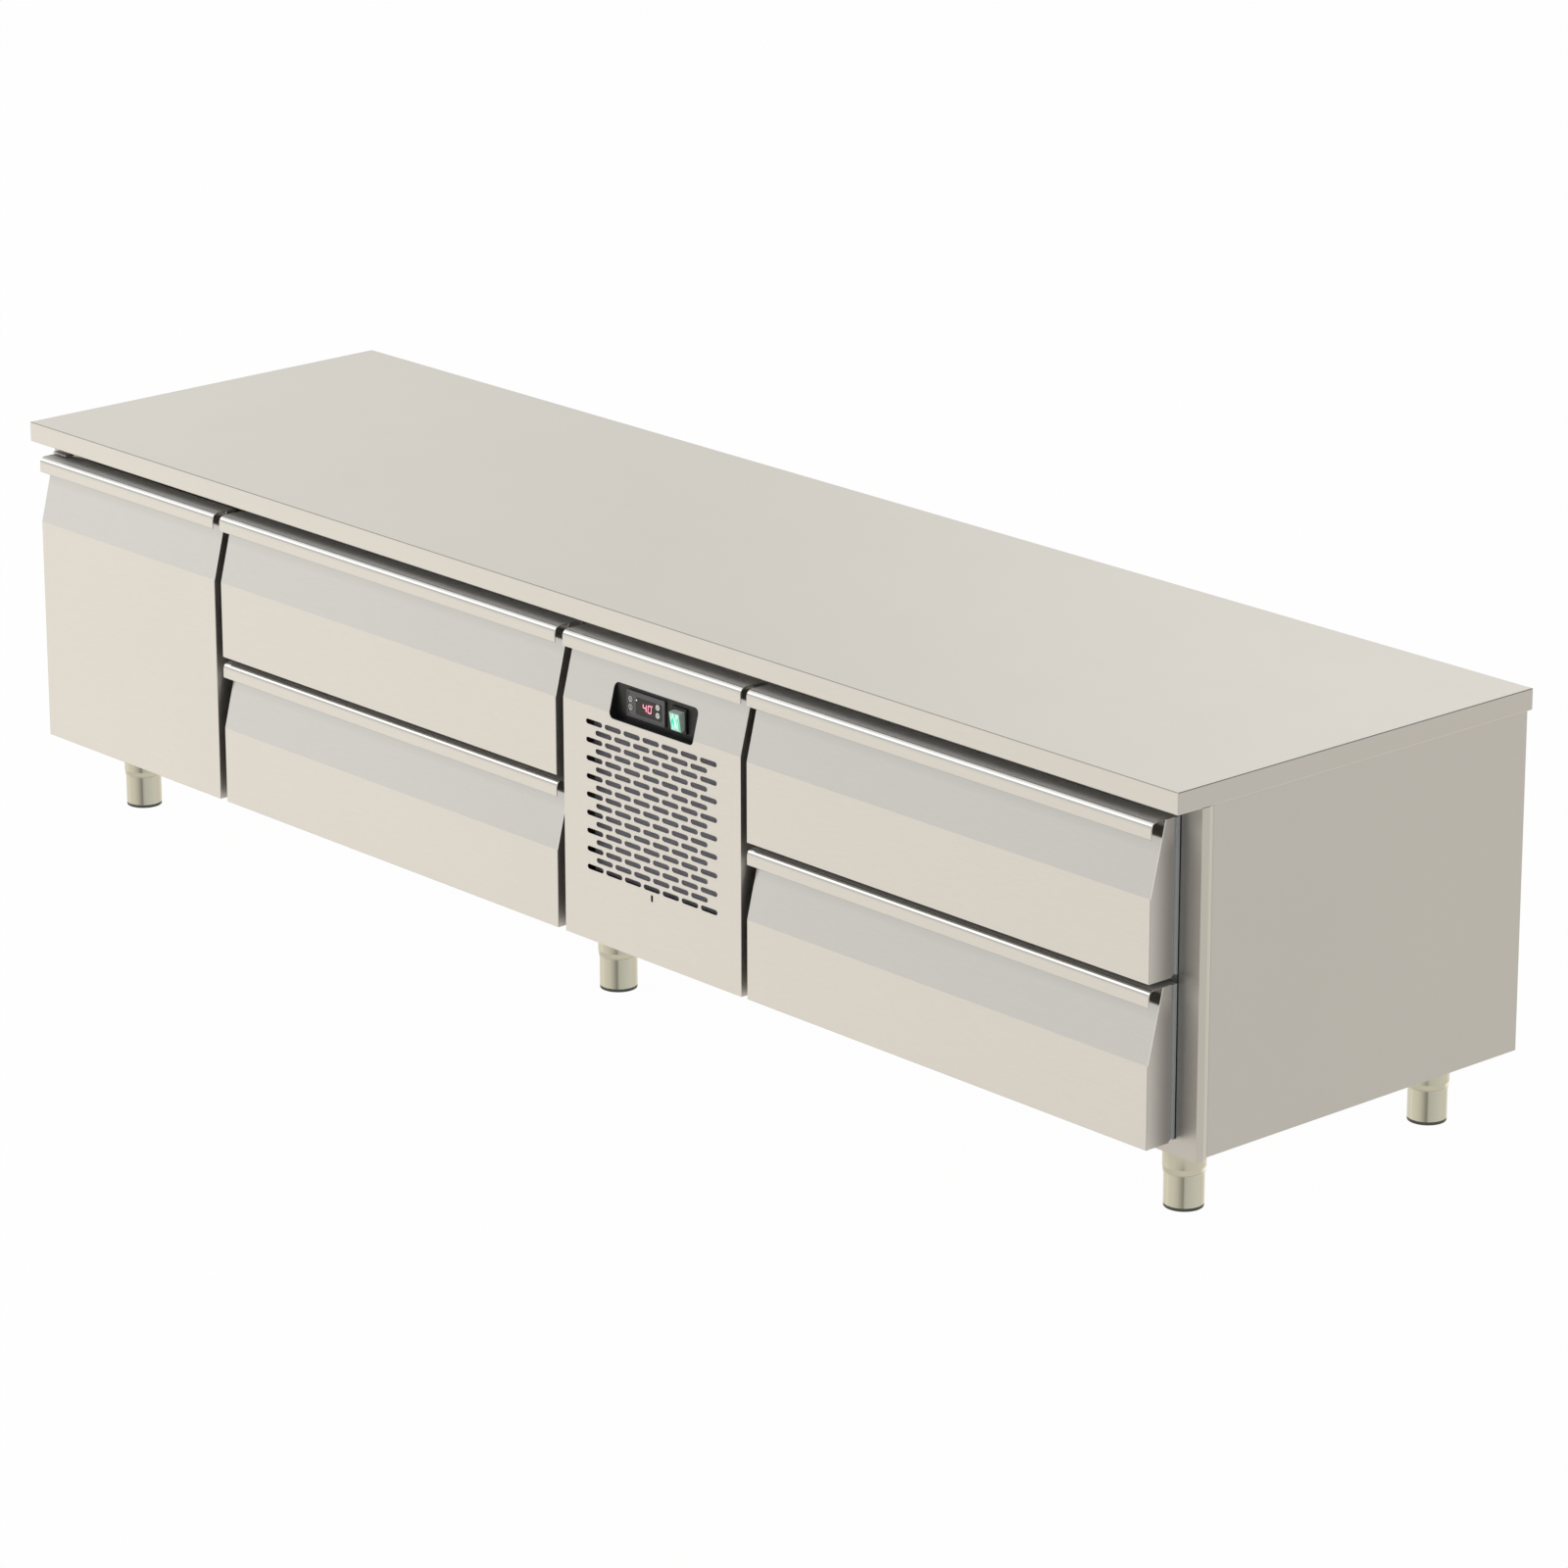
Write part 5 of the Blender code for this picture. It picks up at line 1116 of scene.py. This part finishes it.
def make_world():
    """White for the camera. All else sees a soft room: floor, horizon, upper room and a strip softbox."""
    world = bpy.data.worlds.new("studio")
    bpy.context.scene.world = world
    world.use_nodes = True
    tree = world.node_tree
    tree.nodes.clear()
    seen = add_node(tree, "ShaderNodeBackground")
    socket(seen, "Color", (1, 1, 1, 1))
    place = add_node(tree, "ShaderNodeTexCoord")
    parts = add_node(tree, "ShaderNodeSeparateXYZ")
    tree.links.new(place.outputs["Generated"], parts.inputs[0])
    angle = add_node(tree, "ShaderNodeMath", operation="ARCTAN2")
    tree.links.new(parts.outputs["Y"], angle.inputs[0])
    tree.links.new(parts.outputs["X"], angle.inputs[1])
    compass = rising(tree, angle.outputs[0], -math.pi, math.pi)

    def ring(rows):
        ramp = add_node(tree, "ShaderNodeValToRGB")
        tree.links.new(compass, ramp.inputs["Fac"])
        stops = ramp.color_ramp.elements
        stops.remove(stops[-1])
        for i, (degrees, level, tint) in enumerate(rows):
            stop = stops[0] if i == 0 else stops.new(degrees / 360 + 0.5)
            stop.position = degrees / 360 + 0.5
            stop.color = (*(level * share for share in tint), 1)
        return ramp.outputs["Color"]

    def blend(first, second, factor):
        mix = add_node(tree, "ShaderNodeMix", data_type="RGBA")
        tree.links.new(factor, mix.inputs["Factor"])
        tree.links.new(first, mix.inputs[6])
        tree.links.new(second, mix.inputs[7])
        return mix.outputs[2]

    def above(end):
        return rising(tree, parts.outputs["Z"], *end)

    floor_room = blend(ring(NEAR_RING), ring(FLOOR_RING), above(NEAR_END))
    low_room = blend(floor_room, ring(HORIZON_RING), above(FLOOR_END))
    overhead = blend(ring(CEILING), ring(ZENITH), above(CEILING_END))
    high_room = blend(ring(UPPER_RING), overhead, above(UPPER_END))
    room = blend(low_room, high_room, above(HORIZON_END))
    tilt = add_node(tree, "ShaderNodeMath", operation="ARCTAN2")
    tree.links.new(parts.outputs["Z"], tilt.inputs[0])
    tree.links.new(parts.outputs["Y"], tilt.inputs[1])
    off_middle = less(tree, tilt.outputs[0], SOFTBOX_TILT)
    inside = falling(tree, size_of(tree, off_middle), *SOFTBOX_EDGE)
    to_the_left = falling(tree, parts.outputs["X"], *SOFTBOX_ENDS)
    softbox = product(tree, (inside, to_the_left, above(SOFTBOX_BOTTOM)))
    white = add_node(tree, "ShaderNodeCombineXYZ")
    for i, share in enumerate(SOFTBOX_COLOUR):
        white.inputs[i].default_value = share
    lit = add_node(tree, "ShaderNodeBackground")
    tree.links.new(blend(room, white.outputs[0], softbox), lit.inputs["Color"])
    path = add_node(tree, "ShaderNodeLightPath")
    mix = add_node(tree, "ShaderNodeMixShader")
    out = add_node(tree, "ShaderNodeOutputWorld")
    tree.links.new(path.outputs["Is Camera Ray"], mix.inputs["Fac"])
    tree.links.new(lit.outputs[0], mix.inputs[1])
    tree.links.new(seen.outputs[0], mix.inputs[2])
    tree.links.new(mix.outputs[0], out.inputs["Surface"])


def make_floor():
    """Plain pale floor. The camera sees it close to white, with the object's shadow."""
    bm = bmesh.new()
    bmesh.ops.create_grid(bm, x_segments=1, y_segments=1, size=FLOOR_REACH)
    mesh = bpy.data.meshes.new("floor")
    bm.to_mesh(mesh)
    bm.free()
    floor = bpy.data.objects.new("floor", mesh)
    floor.location = (0, 0, -FLOOR_DROP)
    bpy.context.scene.collection.objects.link(floor)
    made, tree, shader = new_material("floor_paint")
    clouds = placed_noise(tree, FLOOR_CLOUDS)
    tone = ramp_between(tree, clouds.outputs["Fac"], *FLOOR_TONES)
    tree.links.new(tone.outputs["Color"], shader.inputs["Base Color"])
    socket(shader, "Roughness", FLOOR_ROUGHNESS)
    socket(shader, "Specular IOR Level", 0.0)
    white = add_node(tree, "ShaderNodeEmission")
    socket(white, "Color", (1, 1, 1, 1))
    path = add_node(tree, "ShaderNodeLightPath")
    share = add_node(tree, "ShaderNodeMath", operation="MULTIPLY")
    share.inputs[1].default_value = FLOOR_WHITE_SHARE
    mix = add_node(tree, "ShaderNodeMixShader")
    tree.links.new(path.outputs["Is Camera Ray"], share.inputs[0])
    tree.links.new(share.outputs[0], mix.inputs["Fac"])
    tree.links.new(shader.outputs[0], mix.inputs[1])
    tree.links.new(white.outputs[0], mix.inputs[2])
    tree.links.new(mix.outputs[0], tree.nodes["Material Output"].inputs["Surface"])
    floor.visible_glossy = False
    mesh.materials.append(made)


def make_key_light():
    """One soft lamp from the left. Steel doesn't mirror it."""
    light = bpy.data.lights.new("key", "AREA")
    light.shape = "RECTANGLE"
    light.size, light.size_y = LIGHT_SIZE
    light.energy = LIGHT_POWER
    light.color = LIGHT_COLOUR
    key = bpy.data.objects.new("key", light)
    key.location = LIGHT_PLACE
    bpy.context.scene.collection.objects.link(key)
    direction = Vector(LIGHT_TARGET) - key.location
    key.rotation_euler = direction.to_track_quat("-Z", "Y").to_euler()
    key.visible_glossy = False


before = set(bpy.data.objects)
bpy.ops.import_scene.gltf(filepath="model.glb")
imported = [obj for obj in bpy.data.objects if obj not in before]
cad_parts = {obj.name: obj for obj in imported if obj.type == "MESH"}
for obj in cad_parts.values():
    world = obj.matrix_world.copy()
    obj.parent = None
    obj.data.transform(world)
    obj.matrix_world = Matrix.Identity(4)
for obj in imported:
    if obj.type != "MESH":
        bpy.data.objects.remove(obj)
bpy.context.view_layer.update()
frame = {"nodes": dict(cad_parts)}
bpy.context.scene.view_settings.view_transform = "Standard"
make_camera()
make_world()
make_floor()
make_key_light()
materials = make_materials()
dress_nodes(frame, materials)
dress_controller(materials)
dress_keys(materials)
make_rocker(materials)
dress_legs(materials)
dress_rear(materials)
dress_door(materials)
dress_drawers(materials)
dress_slides(materials)
dress_evaporator(materials)
dress_machine(materials)
